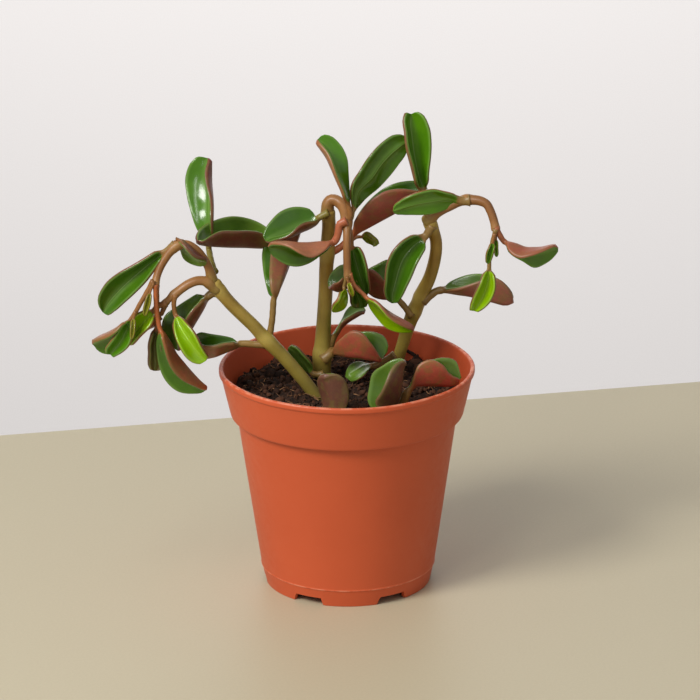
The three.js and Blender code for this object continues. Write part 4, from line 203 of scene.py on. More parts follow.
    ("leaf_centre_hang_right", 0.9, 1.5,
     [(1.45,1,151.59), (2.05,1,148.6)],
     [(2.35,1,144.32), (2.72,1.11,142.32), (3.34,1.33,139.44), (4.3,1.69,135.92), (5.3,2.14,132.14), (6.47,2.73,128.36), (7.57,3.42,124.76), (8.09,3.85,122.68)],
     [(2.03,1,143.91), (1.99,-1.97,142.82), (1.97,-3.24,140.27), (2.05,-3.63,136.75), (2.34,-3.07,132.7), (3.53,-1.58,128.52), (5.67,0.72,124.86), (7.15,2.51,122.91)],
     [(3.02,1,145.96), (4.13,-1.97,145.11), (5.61,-3.24,142.82), (6.88,-3.64,139.36), (8.16,-3.08,135.3), (8.72,-1.59,130.77), (8.99,0.71,126.15), (8.74,2.5,123.4)]),
    ("leaf_centre_hang_mid", 0.8, 1.5,
     [(1.13,-1,130.81)],
     [(1.93,-1,128.23), (2.4,-0.64,127.25), (3.07,-0.12,125.84), (3.89,0.52,124.08), (4.68,1.2,122.17), (5.29,1.88,120.19), (5.71,2.52,118.26), (5.91,2.88,117.16)],
     [(1.45,-1,127.82), (1.67,-3.51,127.67), (1.98,-4.38,126.56), (2.34,-4.44,124.88), (2.64,-3.66,122.81), (2.84,-2.14,120.31), (3.41,-0,117.97), (4.26,1.63,117.05)],
     [(2.71,-1,128.22), (3.47,-3.55,128.29), (4.55,-4.44,127.45), (5.75,-4.51,126), (6.88,-3.73,124.02), (7.89,-2.2,121.54), (7.93,-0.03,118.96), (7.38,1.61,117.45)]),
    ("leaf_centre_bright", 0.85, 1.5,
     [(1.74,-6,133.76), (2.75,-6,130.75), (4.56,-6,128.03), (6.39,-6,126.43)],
     [(7.86,-6,124.79), (9.08,-7.08,123.33), (11.67,-8.1,121.7), (14.71,-9.09,119.31), (18.26,-10.06,117.17), (22,-10.95,115.38), (25.35,-11.71,113.56), (26.66,-12.04,112.21)],
     [(7.6,-6,124.62), (9.19,-10.51,124.59), (11.68,-13.22,123.49), (14.45,-15.15,121.3), (17.34,-16.03,118.52), (20.5,-15.89,115.71), (23.97,-14.77,113.47), (26.08,-13.56,112.4)],
     [(7.19,-6,124.45), (8.29,-4.19,121.56), (9.65,-3.82,118.04), (11.98,-4.21,114.34), (15.16,-5.31,111.26), (19.35,-7.02,109.96), (23.57,-9.21,110.04), (25.95,-10.79,110.77)]),
    ("leaf_centre_young", 0.8, 1.5,
     [(-0.09,-6,132.91), (-0.63,-6,130.77)],
     [(-0.92,-6,128.79), (-0.13,-7.1,127.88), (-0.29,-8.21,126.63), (-1.16,-9.2,125.13), (-2.3,-9.89,123.52), (-3.47,-10.42,121.94), (-4.8,-10.52,120.57), (-5.56,-10.28,120)],
     [(-0.61,-6,128.62), (-0.93,-10.47,129.15), (-1.42,-13.21,128.69), (-2.15,-15.04,127.65), (-3.06,-15.52,126.13), (-4.09,-14.89,124.31), (-5.07,-13.23,122.24), (-5.61,-11.64,120.84)],
     [(0.05,-6,128.62), (0.67,-3.82,126.63), (1.19,-3.35,124.49), (0.93,-3.56,122.07), (-0.11,-4.27,119.8), (-1.83,-5.58,118.37), (-4.18,-7.39,118.15), (-5.43,-8.74,118.9)]),
    ("bud_centre", 0.55, 0.8,
     [(0.52,-8.5,133.1)],
     [(0.83,-8.5,132.02), (1.01,-8.72,131.54), (1.27,-9.01,130.83), (1.58,-9.32,129.94), (1.91,-9.57,128.97), (2.22,-9.77,127.98), (2.5,-9.92,127.02), (2.66,-9.98,126.48)],
     [(0.6,-8.5,131.61), (0.68,-9.59,131.44), (0.82,-10.31,130.9), (1.03,-10.82,130.14), (1.35,-11.04,129.24), (1.77,-10.99,128.29), (2.22,-10.69,127.35), (2.5,-10.36,126.78)],
     [(1.23,-8.5,132.02), (1.42,-9.61,131.86), (1.7,-10.33,131.35), (2.05,-10.85,130.58), (2.4,-11.07,129.64), (2.66,-11.02,128.6), (2.77,-10.7,127.5), (2.79,-10.37,126.82)]),
    ("leaf_centre_back_left", 0.8, 1,
     [(3.2,1,129.2)],
     [(1.3,1,128.5), (0.6,0.8,128), (-0.21,0.93,126.86), (-1.67,1.25,125.74), (-3.47,1.58,125.49), (-5.17,1.92,126.08), (-6.58,2.34,126.56), (-7.16,2.76,126.39)],
     [(1.2,0.4,129.3), (0.2,-2.2,130.4), (-1.09,-6.08,132.95), (-2.37,-6.99,132.91), (-3.7,-6.48,132.05), (-4.98,-4.66,130.74), (-6.06,-1.69,128.9), (-6.64,0.73,127.55)],
     [(1.4,1.6,129.5), (1.1,2.2,131), (0.64,3.2,135.27), (-2.1,3.81,135.36), (-4.56,4.11,133.67), (-6.45,4.11,131.35), (-7.6,3.8,128.84), (-7.68,3.46,127.35)]),
    ("leaf_centre_low_behind", 1.6, 1.5,
     [(-8.39,15,92.8), (-7.13,15,95.87)],
     [(-5.72,15,99.69), (-4.95,15.69,101.63), (-3.67,16.62,103.85), (-1.76,17.52,105.81), (0.59,18.21,107.55), (3.33,18.83,109.01), (5.95,19.35,110.33), (7.43,19.75,110.48)],
     [(-5.81,15,100.69), (-5.02,11.53,103.44), (-3.84,10.39,106.03), (-2.15,10.33,108.56), (0.06,11.32,110.52), (2.68,13.27,111.68), (5.46,16.02,111.65), (7.11,18.12,111.09)],
     [(-5.97,15,101.56), (-5.11,18.58,102.1), (-3.78,20.85,103.82), (-2.04,22.5,106.28), (-0.27,23.25,109.28), (2.45,23.14,111.84), (5.54,22.21,112.86), (7.16,21.2,112.08)]),
    ("leaf_soil_centre", 2, 1.5,
     [(-8.8,11,92.46), (-7.55,11,93.55)],
     [(-5.83,11,95.24), (-4.22,9.05,95.95), (-1.62,6.63,95.74), (1.82,4.44,95.7), (5.6,2.52,96.09), (9.25,1.95,95.44), (12.72,1.94,95.2), (14,1.99,95.14)],
     [(-5.88,11,96.38), (-4.39,7.35,99.95), (-1.74,4.1,103.91), (1.95,1.48,107.66), (6.69,-0.36,107.46), (10.01,-0.39,103.67), (12.5,0.5,99.24), (13.77,1.25,96.56)],
     [(-5.46,11,96.82), (-3.79,10.66,99.71), (-0.37,9,103.32), (4.92,7.19,105.3), (10.74,5.23,105.92), (15.81,4.24,103.63), (17.06,3.4,98.41), (15.31,2.7,95.95)]),
    ("leaf_soil_low", 1.5, 1.5,
     [(18.95,14,91.88), (15.42,14,89.71), (12.72,14,88.18)],
     [(9.98,14,87.53), (8.61,12.88,88.49), (7.12,11.63,88.88), (5.43,10.3,88.37), (3.63,9.22,87.56), (1.8,8.31,86.66), (0.52,7.84,85.37), (0.39,8.11,84.49)],
     [(9.2,14,88.65), (7.98,15.95,88.6), (6.13,16.15,89.29), (3.61,15.61,89.75), (1.39,14.52,88.95), (-0.01,12.88,87.12), (-0.76,10.79,85.43), (-0.8,9.3,84.5)],
     [(10.44,14,86.88), (9.52,9.22,88.12), (8.26,6.17,88.49), (6.83,3.99,88.22), (5.43,3.13,87.2), (4.09,3.45,85.7), (2.58,4.89,84.36), (1.61,6.36,83.58)]),
    ("leaf_soil_front_left", 2, 1.5,
     [(-4.92,-30,78.26)],
     [(-5.22,-30,81.65), (-5.03,-28.57,82.4), (-5.16,-28.01,84.76), (-5.64,-27.67,87.81), (-6.39,-27.31,91.08), (-7.24,-26.96,94.43), (-8.23,-26.82,97.61), (-8.67,-27.42,98.94)],
     [(-6.92,-30,81.51), (-7.46,-25.51,81.64), (-8.29,-23.17,83.31), (-9.42,-21.8,85.89), (-10.33,-21.61,89.19), (-10.98,-22.52,92.92), (-11.06,-24.46,96.97), (-10.03,-26.18,98.95)],
     [(-3.28,-30,81.06), (-1.93,-28.23,82.31), (-0.3,-27.19,84.91), (0.76,-26.49,88.74), (0.41,-26.2,93.1), (-1.42,-26.33,97.16), (-4.85,-26.84,99.39), (-7.07,-27.36,99.63)]),
    ("leaf_soil_front_mid", 2, 1.5,
     [(17.02,-28,77.37)],
     [(16.96,-28,80.59), (17.43,-27.97,82.46), (18.96,-27.37,85.18), (20.35,-26.82,89.04), (21.05,-26.33,93.4), (21.4,-25.89,97.8), (22,-25.56,102.07), (23.15,-25.19,103.65)],
     [(15.41,-28,81.5), (13.02,-32.55,85.23), (11.32,-34.39,89.19), (13.26,-34.99,93.78), (14.75,-34.32,98.47), (16.91,-32.45,102.44), (20.14,-29.54,104.87), (22.56,-27.21,105.03)],
     [(13.38,-28,81.94), (10.54,-26.16,82.93), (8.35,-24.89,86.34), (8.79,-23.94,91.83), (10.14,-23.49,97.69), (14.6,-23.49,101.25), (19.39,-23.92,104.17), (22.43,-24.42,104.55)]),
    ("leaf_soil_right", 1.9, 1.5,
     [(22.4,-22,83.8), (23.21,-22,85.75)],
     [(24.33,-22,88.78), (25.49,-21.51,90.85), (27.65,-20.7,92.28), (30.86,-19.71,91.74), (34.5,-18.7,91.2), (38.19,-17.7,90.89), (42.4,-16.7,91), (45,-16.1,91.7)],
     [(24.28,-22,89.64), (25.54,-22.86,92.67), (26.92,-22.77,96.77), (29.35,-22.15,101.28), (34.27,-21.08,103.18), (39.13,-19.65,100.37), (42.29,-17.95,95.49), (45.9,-16.3,93)],
     [(25.26,-22,90.93), (26.6,-20.06,93.32), (28.93,-18.59,97.18), (33.24,-17.29,100.66), (39.22,-16.32,101.83), (44.78,-15.71,99.9), (46.53,-15.49,94.11), (46.7,-15.6,92.6)]),
    ("leaf_soil_left_behind", 1.2, 1.5,
     [(-10.7,8,86.51), (-11.52,8,86.3)],
     [(-13.96,8,86.72), (-15.38,8.11,87.52), (-16.86,7.67,89.83), (-18.42,7.29,92.06), (-20.02,6.91,94.22), (-21.35,6.38,96.26), (-22.9,6.04,97.77), (-23.88,5.93,98.48)],
     [(-13.17,8.568,87.431), (-13.94,7.065,89.16), (-15.08,5.149,91.561), (-16.57,4.154,93.95), (-18.2,3.892,96.194), (-19.89,3.961,98.294), (-21.85,4.734,99.452), (-23.13,5.52,99.665)],
     [(-14.43,7.064,85.548), (-15.59,9.608,85.454), (-17.24,9.436,86.705), (-19.12,9.247,88.437), (-20.88,8.775,90.658), (-22.42,7.673,93.295), (-23.7,6.695,95.865), (-24.38,6.084,97.359)]),
    ("leaf_right_fork", 1.6, 1.5,
     [(32.48,17,115.49), (34.96,17,117.65), (37.02,17,119.25)],
     [(39.02,17,119.74), (41.67,16.55,120.24), (45.75,16.01,119.69), (50.75,15.41,118.87), (55.94,14.78,117.47), (61.12,14.13,116.07), (65.96,13.49,115.22), (68.02,13.14,116.55)],
     [(38.92,17,120.11), (41.89,13.69,121.81), (46.21,11.74,123.41), (51.46,10.39,125.37), (57.11,9.81,126.83), (62.96,9.99,126.76), (67.19,10.89,122.73), (68.31,11.83,119.4)],
     [(38.67,17,120.68), (41.23,19.18,122.1), (45.4,19.89,124.11), (50.93,19.87,125.72), (57.02,19.1,126.02), (62.78,17.68,124.43), (67.05,15.71,121.09), (68.34,14.23,118.48)]),
    ("leaf_right_bright", 0.85, 1.5,
     [(60.59,-2,150.89), (59.59,-2,147.06), (58.92,-2,143.21), (58.45,-2,139.79), (58.34,-2,137.65)],
     [(58.31,-2,135.5), (58.18,-2.44,133.87), (57.92,-3.02,131.5), (57.31,-3.63,128.61), (56.3,-4.13,125.58), (54.98,-4.54,122.65), (53.5,-4.84,120), (52.59,-4.97,118.54)],
     [(57.84,-2,135.09), (56.95,-5.01,134.46), (55.82,-6.83,132.69), (54.6,-8.07,130.1), (53.45,-8.48,126.98), (52.16,-8.14,123.7), (50.96,-7.1,120.34), (51.02,-6.09,118.28)],
     [(58.78,-2,135.09), (59.33,-4.74,134.09), (60.07,-6.44,131.86), (60.23,-7.61,128.68), (59,-8.03,125.26), (56.99,-7.77,122.03), (54.47,-6.86,119.36), (52.83,-5.97,118.11)]),
    ("leaf_right_end", 1.15, 1.5,
     [(61.43,-1,151.42), (62.67,-1,149.06), (63.65,-1,147.35)],
     [(64.56,-1,146.35), (65.97,-2.22,145.42), (68.83,-3.07,144.82), (72.34,-4.06,143.67), (76.22,-5.03,143.65), (80.07,-5.88,144.02), (83.69,-6.33,144.99), (85.58,-6.3,145.09)],
     [(64.31,-1,145.85), (64.99,-5.68,145.05), (66.96,-8.49,143.17), (70.52,-10.41,141.78), (74.87,-11.12,142.47), (78.98,-10.68,143.99), (82.77,-9.18,145.38), (85.04,-7.68,145.57)],
     [(63.91,-1,145.42), (65.14,-0.37,142.63), (67.78,-0.6,139.64), (71.95,-1.22,137.25), (76.5,-2.12,135.14), (81.19,-3.24,137.44), (84.95,-4.51,140.9), (86.32,-5.36,143.6)]),
    ("bud_back", 0.7, 1,
     [(2.46,19,141.08), (4.52,19,142.37)],
     [(6.43,19,142.38), (7.2,19.14,142.68), (8.08,19.46,142.52), (9.15,19.78,141.9), (10.38,19.84,141.08), (11.46,19.76,140.07), (12.07,19.79,138.96), (12.28,19.86,138.28)],
     [(6.17,18.713,142.021), (6.58,20.332,140.935), (7.2,21.279,139.942), (8.03,22.014,138.977), (8.99,22.079,138.307), (9.99,21.569,137.896), (10.92,20.86,137.607), (11.45,20.279,137.523)],
     [(7,19.518,143.029), (7.79,17.527,143.993), (8.88,16.975,144.312), (10.07,16.823,143.838), (11.21,16.779,142.808), (12.25,17.144,141.57), (12.87,18.138,139.984), (13.04,19.049,138.851)]),
    ("bud_right_long", 0.6, 0.9,
     [(60.11,-4.5,149.78)],
     [(59.63,-4.5,147.43), (59.41,-4.77,146.69), (59.09,-5.12,145.59), (58.69,-5.42,144.21), (58.28,-5.5,142.66), (57.94,-5.5,141.06), (57.77,-5.5,139.53), (57.71,-5.5,138.66)],
     [(59.24,-4.5,147.03), (58.92,-5.96,146.74), (58.5,-6.9,145.94), (58.01,-7.49,144.77), (57.56,-7.53,143.3), (57.27,-7.18,141.67), (57.28,-6.55,140.02), (57.37,-6.02,139.02)],
     [(60.18,-4.5,147.02), (60.07,-5.86,146.64), (59.92,-6.74,145.75), (59.67,-7.31,144.51), (59.28,-7.35,143.03), (58.82,-7.03,141.47), (58.37,-6.46,139.91), (58.12,-5.98,138.99)]),
    ("bud_right_small", 0.5, 0.7,
     [(60.96,-1,149.07)],
     [(60.97,-1,147.58), (60.98,-1,146.89), (61,-1,145.88), (61.05,-1,144.65), (61.1,-1,143.34), (61.19,-1,142.03), (61.29,-1,140.8), (61.35,-1,140.1)],
     [(60.73,-1,147.17), (60.66,-1.74,146.79), (60.6,-2.1,146), (60.59,-2.28,144.96), (60.62,-2.26,143.78), (60.75,-2.04,142.54), (60.94,-1.65,141.32), (61.08,-1.32,140.6)],
     [(61.24,-1,147.17), (61.27,-1.75,146.79), (61.32,-2.11,146.02), (61.39,-2.29,144.97), (61.45,-2.27,143.8), (61.51,-2.05,142.56), (61.56,-1.66,141.32), (61.59,-1.33,140.6)]),
]

# ---------------------------------------------------------------- light levels
KEY, STRIP, FILL, WASH, AMBIENT = 27.0, 5.5, 1.4, 60.0, 0.38

STATIONS = np.array([0, 0.09, 0.22, 0.38, 0.55, 0.72, 0.88, 0.97, 1.0])


def hermite(ts, values, at):
    """Smooth curve through values at ts, sampled at the given places."""
    ts = np.asarray(ts, float)
    v = np.asarray(values, float)
    d = np.zeros_like(v)
    h = np.diff(ts)[:, None]
    s = np.diff(v, axis=0) / h
    d[1:-1] = (s[:-1] * h[1:] + s[1:] * h[:-1]) / (h[1:] + h[:-1])
    d[0] = s[0] * 1.5 - d[1] * 0.5 if len(ts) > 2 else s[0]
    d[-1] = s[-1] * 1.5 - d[-2] * 0.5 if len(ts) > 2 else s[-1]
    at = np.asarray(at, float)
    i = np.clip(np.searchsorted(ts, at, side="right") - 1, 0, len(ts) - 2)
    x = ((at - ts[i]) / (ts[i + 1] - ts[i]))[:, None]
    hh = (ts[i + 1] - ts[i])[:, None]
    return ((2 * x**3 - 3 * x**2 + 1) * v[i] + (x**3 - 2 * x**2 + x) * hh * d[i]
            + (-2 * x**3 + 3 * x**2) * v[i + 1] + (x**3 - x**2) * hh * d[i + 1])


def chord(points):
    p = np.asarray(points, float)[:, :3]
    return np.concatenate([[0], np.cumsum(np.maximum(np.linalg.norm(np.diff(p, axis=0), axis=1), 1e-6))])


def unit(v):
    return v / np.maximum(np.linalg.norm(v, axis=-1, keepdims=True), 1e-12)


def smooth(x):
    x = np.clip(x, 0, 1)
    return x * x * (3 - 2 * x)


def make_object(name, verts, faces, material, attributes=None, sharp=None):
    mesh = bpy.data.meshes.new(name)
    mesh.from_pydata([tuple(p) for p in np.asarray(verts) * MM], [], faces)
    mesh.validate()
    for f in mesh.polygons:
        f.use_smooth = True
    for key, values in (attributes or {}).items():
        values = np.asarray(values, np.float32)
        if values.ndim == 1:
            a = mesh.attributes.new(key, "FLOAT", "POINT")
            a.data.foreach_set("value", values)
        else:
            a = mesh.attributes.new(key, "FLOAT_VECTOR", "POINT")
            a.data.foreach_set("vector", values.ravel())
    mesh.materials.append(material)
    o = bpy.data.objects.new(name, mesh)
    bpy.context.scene.collection.objects.link(o)
    if sharp:
        mesh.set_sharp_from_angle(angle=math.radians(sharp))
    return o


def loft_faces(rings, n, cap_start=True, cap_end=True):
    """Quads between rings of n vertices, with a vertex at each capped end after the rings."""
    faces = []
    for i in range(rings - 1):
        a, b = i * n, (i + 1) * n
        for j in range(n):
            k = (j + 1) % n
            faces.append((a + j, b + j, b + k, a + k))
    extra = rings * n
    if cap_start:
        for j in range(n):
            faces.append((extra, j, (j + 1) % n))
        extra += 1
    if cap_end:
        a = (rings - 1) * n
        for j in range(n):
            faces.append((extra, a + (j + 1) % n, a + j))
    return faces


def facing_out(verts, faces):
    v = np.asarray(verts, float)
    c = v.mean(0)
    total = 0.0
    for f in faces:
        a = v[f[0]] - c
        for i in range(1, len(f) - 1):
            total += np.dot(a, np.cross(v[f[i]] - c, v[f[i + 1]] - c))
    return faces if total > 0 else [tuple(reversed(f)) for f in faces]


# Sample places across one half of a section, from the margin to the midrib: the rounded edge by
# angle, then the flat part as a share of the width inside the edge.
EDGE = [0, 24, 48, 70]
FACE = [1.0, 0.86, 0.70, 0.54, 0.38, 0.22, 0.09, 0.0]


def blade_section(K, A, B, na, nb, bis, th):
    """One section of a folded blade, as points with their u, side and half."""
    pts, us, sides = [], [], []
    for half, (M, nrm) in enumerate(((A, na), (B, nb))):
        w = M - K
        width = np.linalg.norm(w)
        u0 = 1 - min(0.45, 0.5 * th / max(width, 1e-6))
        row = []
        for a in EDGE:
            row.append((u0 + (1 - u0) * math.cos(math.radians(a)), math.sin(math.radians(a))))
        for f in FACE:
            row.append((u0 * f, 1.0))
        inner, outer = [], []
        for u, g in row:
            near = max(0.0, 1 - u / 0.3)
            n = unit(nrm * (1 - 0.5 * near) + bis * 0.5 * near) if near else nrm
            t = th * (1 + 0.25 * math.exp(-(u / 0.22) ** 2))
            base = K + w * u - nrm * 0.07 * width * 4 * u * (1 - u)
            lip = 0.05 * th * math.exp(-((u - u0 * 0.94) / 0.08) ** 2)
            fillet = 0.10 * th * math.exp(-(u / 0.06) ** 2)
            inner.append((base - n * (0.5 * th * (1 - g)) + n * (lip + fillet), u))
            outer.append((base - n * (t - 0.5 * th * (1 - g)), u))
        pts.append((inner, outer))
    (ia, oa), (ib, ob) = pts
    ring, u, side = [], [], []
    for p, x in ia:                       # margin A to midrib, inner
        ring.append(p); u.append(x); side.append(1.0)
    for p, x in reversed(ib[1:-1]):       # midrib to margin B, inner
        ring.append(p); u.append(-x); side.append(1.0)
    ring.append(ib[0][0]); u.append(-1.0); side.append(0.5)
    for p, x in ob[1:]:                   # margin B to keel, outer
        ring.append(p); u.append(-x); side.append(0.0)
    for p, x in reversed(oa[1:-1]):       # keel to margin A, outer
        ring.append(p); u.append(x); side.append(0.0)
    side[0] = 0.5
    return np.array(ring), np.array(u), np.array(side)


QUARTER = len(EDGE) + len(FACE) - 1
AROUND = 4 * QUARTER
ANGLES = np.array([2 * math.pi * j / AROUND for j in range(AROUND)])


def leaf_mesh(name, r, th, P, K, A, B, seed):
    rng = np.random.default_rng(seed)
    K, A, B = (np.asarray(x, float) for x in (K, A, B))
    tip = K[-1] + (K[-1] - K[-2]) * 0.28
    tipA = tip + ((A[-1] - K[-1]) + (B[-1] - K[-1])) * 0.05
    K = np.vstack([K, tip]); A = np.vstack([A, tipA]); B = np.vstack([B, tipA])
    length = chord(K)[-1]
    steps = int(np.clip(length / 1.1, 22, 46))
    t = np.linspace(0, 1, steps + 1)[1:]
    t = np.where(t > 0.8, 0.8 + 0.2 * np.sin((t - 0.8) / 0.2 * math.pi / 2), t)
    t[-1] = 0.997
    k, a, b = (hermite(STATIONS, x, t) for x in (K, A, B))
    # A little waviness of each margin, out of the blade's own plane.
    tangent = unit(np.gradient(k, axis=0))
    mid = len(t) // 2
    sa = 1 if np.dot(np.cross(tangent[mid], a[mid] - k[mid]), b[mid] - k[mid]) > 0 else -1
    sb = 1 if np.dot(np.cross(tangent[mid], b[mid] - k[mid]), a[mid] - k[mid]) > 0 else -1
    rings, us, sides, vs = [], [], [], []
    # petiole
    pts = np.vstack([np.asarray(P, float), K[0][None]])
    pts = np.vstack([pts[:1] - unit(pts[1] - pts[0]) * 1.2, pts])      # starts inside what carries it
    s = chord(pts)
    count = max(4, int(s[-1] / 1.0))
    where = np.linspace(0, s[-1], count + 1)
    centre = hermite(s, pts, where) if len(pts) > 1 else pts
    lat0 = A[2] - B[2]
    inward = A[2] + B[2] - 2 * K[2]
    last_lat = last_up = None
    for i, c in enumerate(centre):
        j0, j1 = max(i - 1, 0), min(i + 1, len(centre) - 1)
        d = unit(centre[j1] - centre[j0])
        if i == len(centre) - 1:
            d = unit(d + unit(K[1] - K[0]))
        lat = unit(lat0 - d * np.dot(lat0, d))
        upv = np.cross(d, lat)
        if np.dot(upv, inward) < 0:
            upv = -upv
        far = where[i]
        rad = r * (1 + 0.35 * math.exp(-far / 1.3) + 0.04 * math.sin(far * 1.7 + seed))
        ring = c + rad * (np.cos(ANGLES)[:, None] * lat + np.sin(ANGLES)[:, None] * upv)
        rings.append(ring)
        us.append(np.cos(ANGLES) * 0.5); sides.append(np.full(AROUND, 0.0)); vs.append(np.full(AROUND, -1 + far / max(s[-1], 1e-6)))
        last_lat, last_up = lat, upv
    # blade
    phase = rng.uniform(0, 6.28, 4)
    NA = unit(np.cross(tangent, a - k) * sa)
    NB = unit(np.cross(tangent, b - k) * sb)
    for N in (NA, NB):
        for i in range(mid + 1, len(t)):
            if np.dot(N[i], N[i - 1]) < 0:
                N[i] = -N[i]
        for i in range(mid - 1, -1, -1):
            if np.dot(N[i], N[i + 1]) < 0:
                N[i] = -N[i]
    for i in range(len(t)):
        ak, bk = a[i] - k[i], b[i] - k[i]
        na, nb = NA[i], NB[i]
        bis = unit(na + nb)
        wa, wb = np.linalg.norm(ak), np.linalg.norm(bk)
        thick = min(th, 0.5 * min(wa, wb) + 0.35)
        wave = 0.05 * smooth(t[i] * 5) * smooth((1 - t[i]) * 5)
        aa = a[i] + na * wa * wave * math.sin(t[i] * 9 + phase[0])
        bb = b[i] + nb * wb * wave * math.sin(t[i] * 8 + phase[1])
        ring, u, side = blade_section(k[i], aa, bb, na, nb, bis, thick)
        w = smooth(t[i] / 0.13)
        if w < 1:
            lat = unit(lat0 - tangent[i] * np.dot(lat0, tangent[i]))
            upv = np.cross(tangent[i], lat)
            if np.dot(upv, inward) < 0:
                upv = -upv
            circle = k[i] + r * (np.cos(ANGLES)[:, None] * lat + np.sin(ANGLES)[:, None] * upv)
            ring = circle * (1 - w) + ring * w
            side = side * w
        rings.append(ring); us.append(u); sides.append(side); vs.append(np.full(AROUND, t[i]))
    n = len(rings)
    start = rings[0].mean(0)
    end = rings[-1].mean(0) + unit(k[-1] - k[-2]) * 0.15
    verts = np.vstack(rings + [start[None], end[None]])
    u = np.concatenate(us + [[0.0, 0.0]])
    side = np.concatenate(sides + [[0.0, 0.5]])
    v = np.concatenate(vs + [[-1.0, 1.0]])
    faces = facing_out(verts, loft_faces(n, AROUND))
    return verts, faces, u, side, v


def tube_mesh(points, radii, sides, dome_start=False, dome_end=False, bump=None, seed=0):
    """A closed tube along smooth points, with rounded ends where asked."""
    p = np.asarray(points, float)
    s = chord(p)
    count = max(6, int(s[-1] / 0.9))
    where = np.linspace(0, s[-1], count + 1)
    c = hermite(s, p, where)
    r = hermite(s, np.asarray(radii, float)[:, None], where)[:, 0]
    if bump is not None:
        r = r * bump(c)
    tangent = unit(np.gradient(c, axis=0))
    extra_c, extra_r, extra_t = [], [], []
    if dome_end:
        for a in (25, 45, 62, 76):
            extra_c.append(c[-1] + tangent[-1] * r[-1] * 0.6 * math.sin(math.radians(a)))
            extra_r.append(r[-1] * math.cos(math.radians(a)))
            extra_t.append(tangent[-1])
        c = np.vstack([c, extra_c]); r = np.append(r, extra_r); tangent = np.vstack([tangent, extra_t])
    if dome_start:
        front_c, front_r = [], []
        for a in (76, 62, 45, 25):
            front_c.append(c[0] - tangent[0] * r[0] * 0.6 * math.sin(math.radians(a)))
            front_r.append(r[0] * math.cos(math.radians(a)))
        c = np.vstack([front_c, c]); r = np.append(front_r, r)
        tangent = np.vstack([np.repeat(tangent[:1], 4, axis=0), tangent])
    ref = np.array([0, 0, 1.0]) if abs(tangent[0][2]) < 0.9 else np.array([0, 1.0, 0])
    ang = np.array([2 * math.pi * j / sides for j in range(sides)])
    rng = np.random.default_rng(seed)
    ph = rng.uniform(0, 6.28, 6)
    rings, along = [], []
    length = 0.0
    for i in range(len(c)):
        u = unit(ref - tangent[i] * np.dot(ref, tangent[i]))
        ref = u
        w = np.cross(tangent[i], u)
        if i:
            length += np.linalg.norm(c[i] - c[i - 1])
        wob = 1 + 0.025 * np.sin(3 * ang + ph[0] + length * 0.11) + 0.018 * np.sin(2 * ang + ph[1] - length * 0.07) \
            + 0.012 * np.sin(5 * ang + ph[2] + length * 0.23)
        rings.append(c[i] + (r[i] * wob)[:, None] * (np.cos(ang)[:, None] * u + np.sin(ang)[:, None] * w))
        along.append(np.full(sides, length))
    verts = np.vstack(rings + [c[:1], c[-1:]])
    along = np.concatenate(along + [[0.0], [length]])
    faces = facing_out(verts, loft_faces(len(c), sides))
    return verts, faces, along


def join_meshes(parts):
    """Several (verts, faces, values...) as one."""
    verts, faces, values = [], [], None
    base = 0
    for part in parts:
        v, f, rest = np.asarray(part[0]), part[1], part[2:]
        verts.append(v)
        faces += [tuple(i + base for i in q) for q in f]
        base += len(v)
        if values is None:
            values = [[] for _ in rest]
        for k, x in enumerate(rest):
            values[k].append(np.asarray(x, float))
    return np.vstack(verts), faces, [np.concatenate(x) for x in values or []]


# ---------------------------------------------------------------- pot
POT_SEGMENTS = 288
NOTCH_FIRST, NOTCHES, NOTCH_WIDTH, NOTCH_HEIGHT = -118.5, 6, 12.5, 3.4


def rounded(profile, steps=4):
    """The profile with each corner that states a radius rounded off."""
    out = []
    n = len(profile)
    for i, (x, z, r) in enumerate(profile):
        if not r or i in (0, n - 1):
            out.append((x, z))
            continue
        p = np.array([x, z]); a = np.array(profile[i - 1][:2]) - p; b = np.array(profile[i + 1][:2]) - p
        la, lb = np.linalg.norm(a), np.linalg.norm(b)
        d = min(r, 0.45 * la, 0.45 * lb)
        pa, pb = p + a / la * d, p + b / lb * d
        for k in range(steps + 1):
            t = k / steps
            q = (1 - t) ** 2 * pa + 2 * t * (1 - t) * p + t * t * pb
            out.append((q[0], q[1]))
    return out


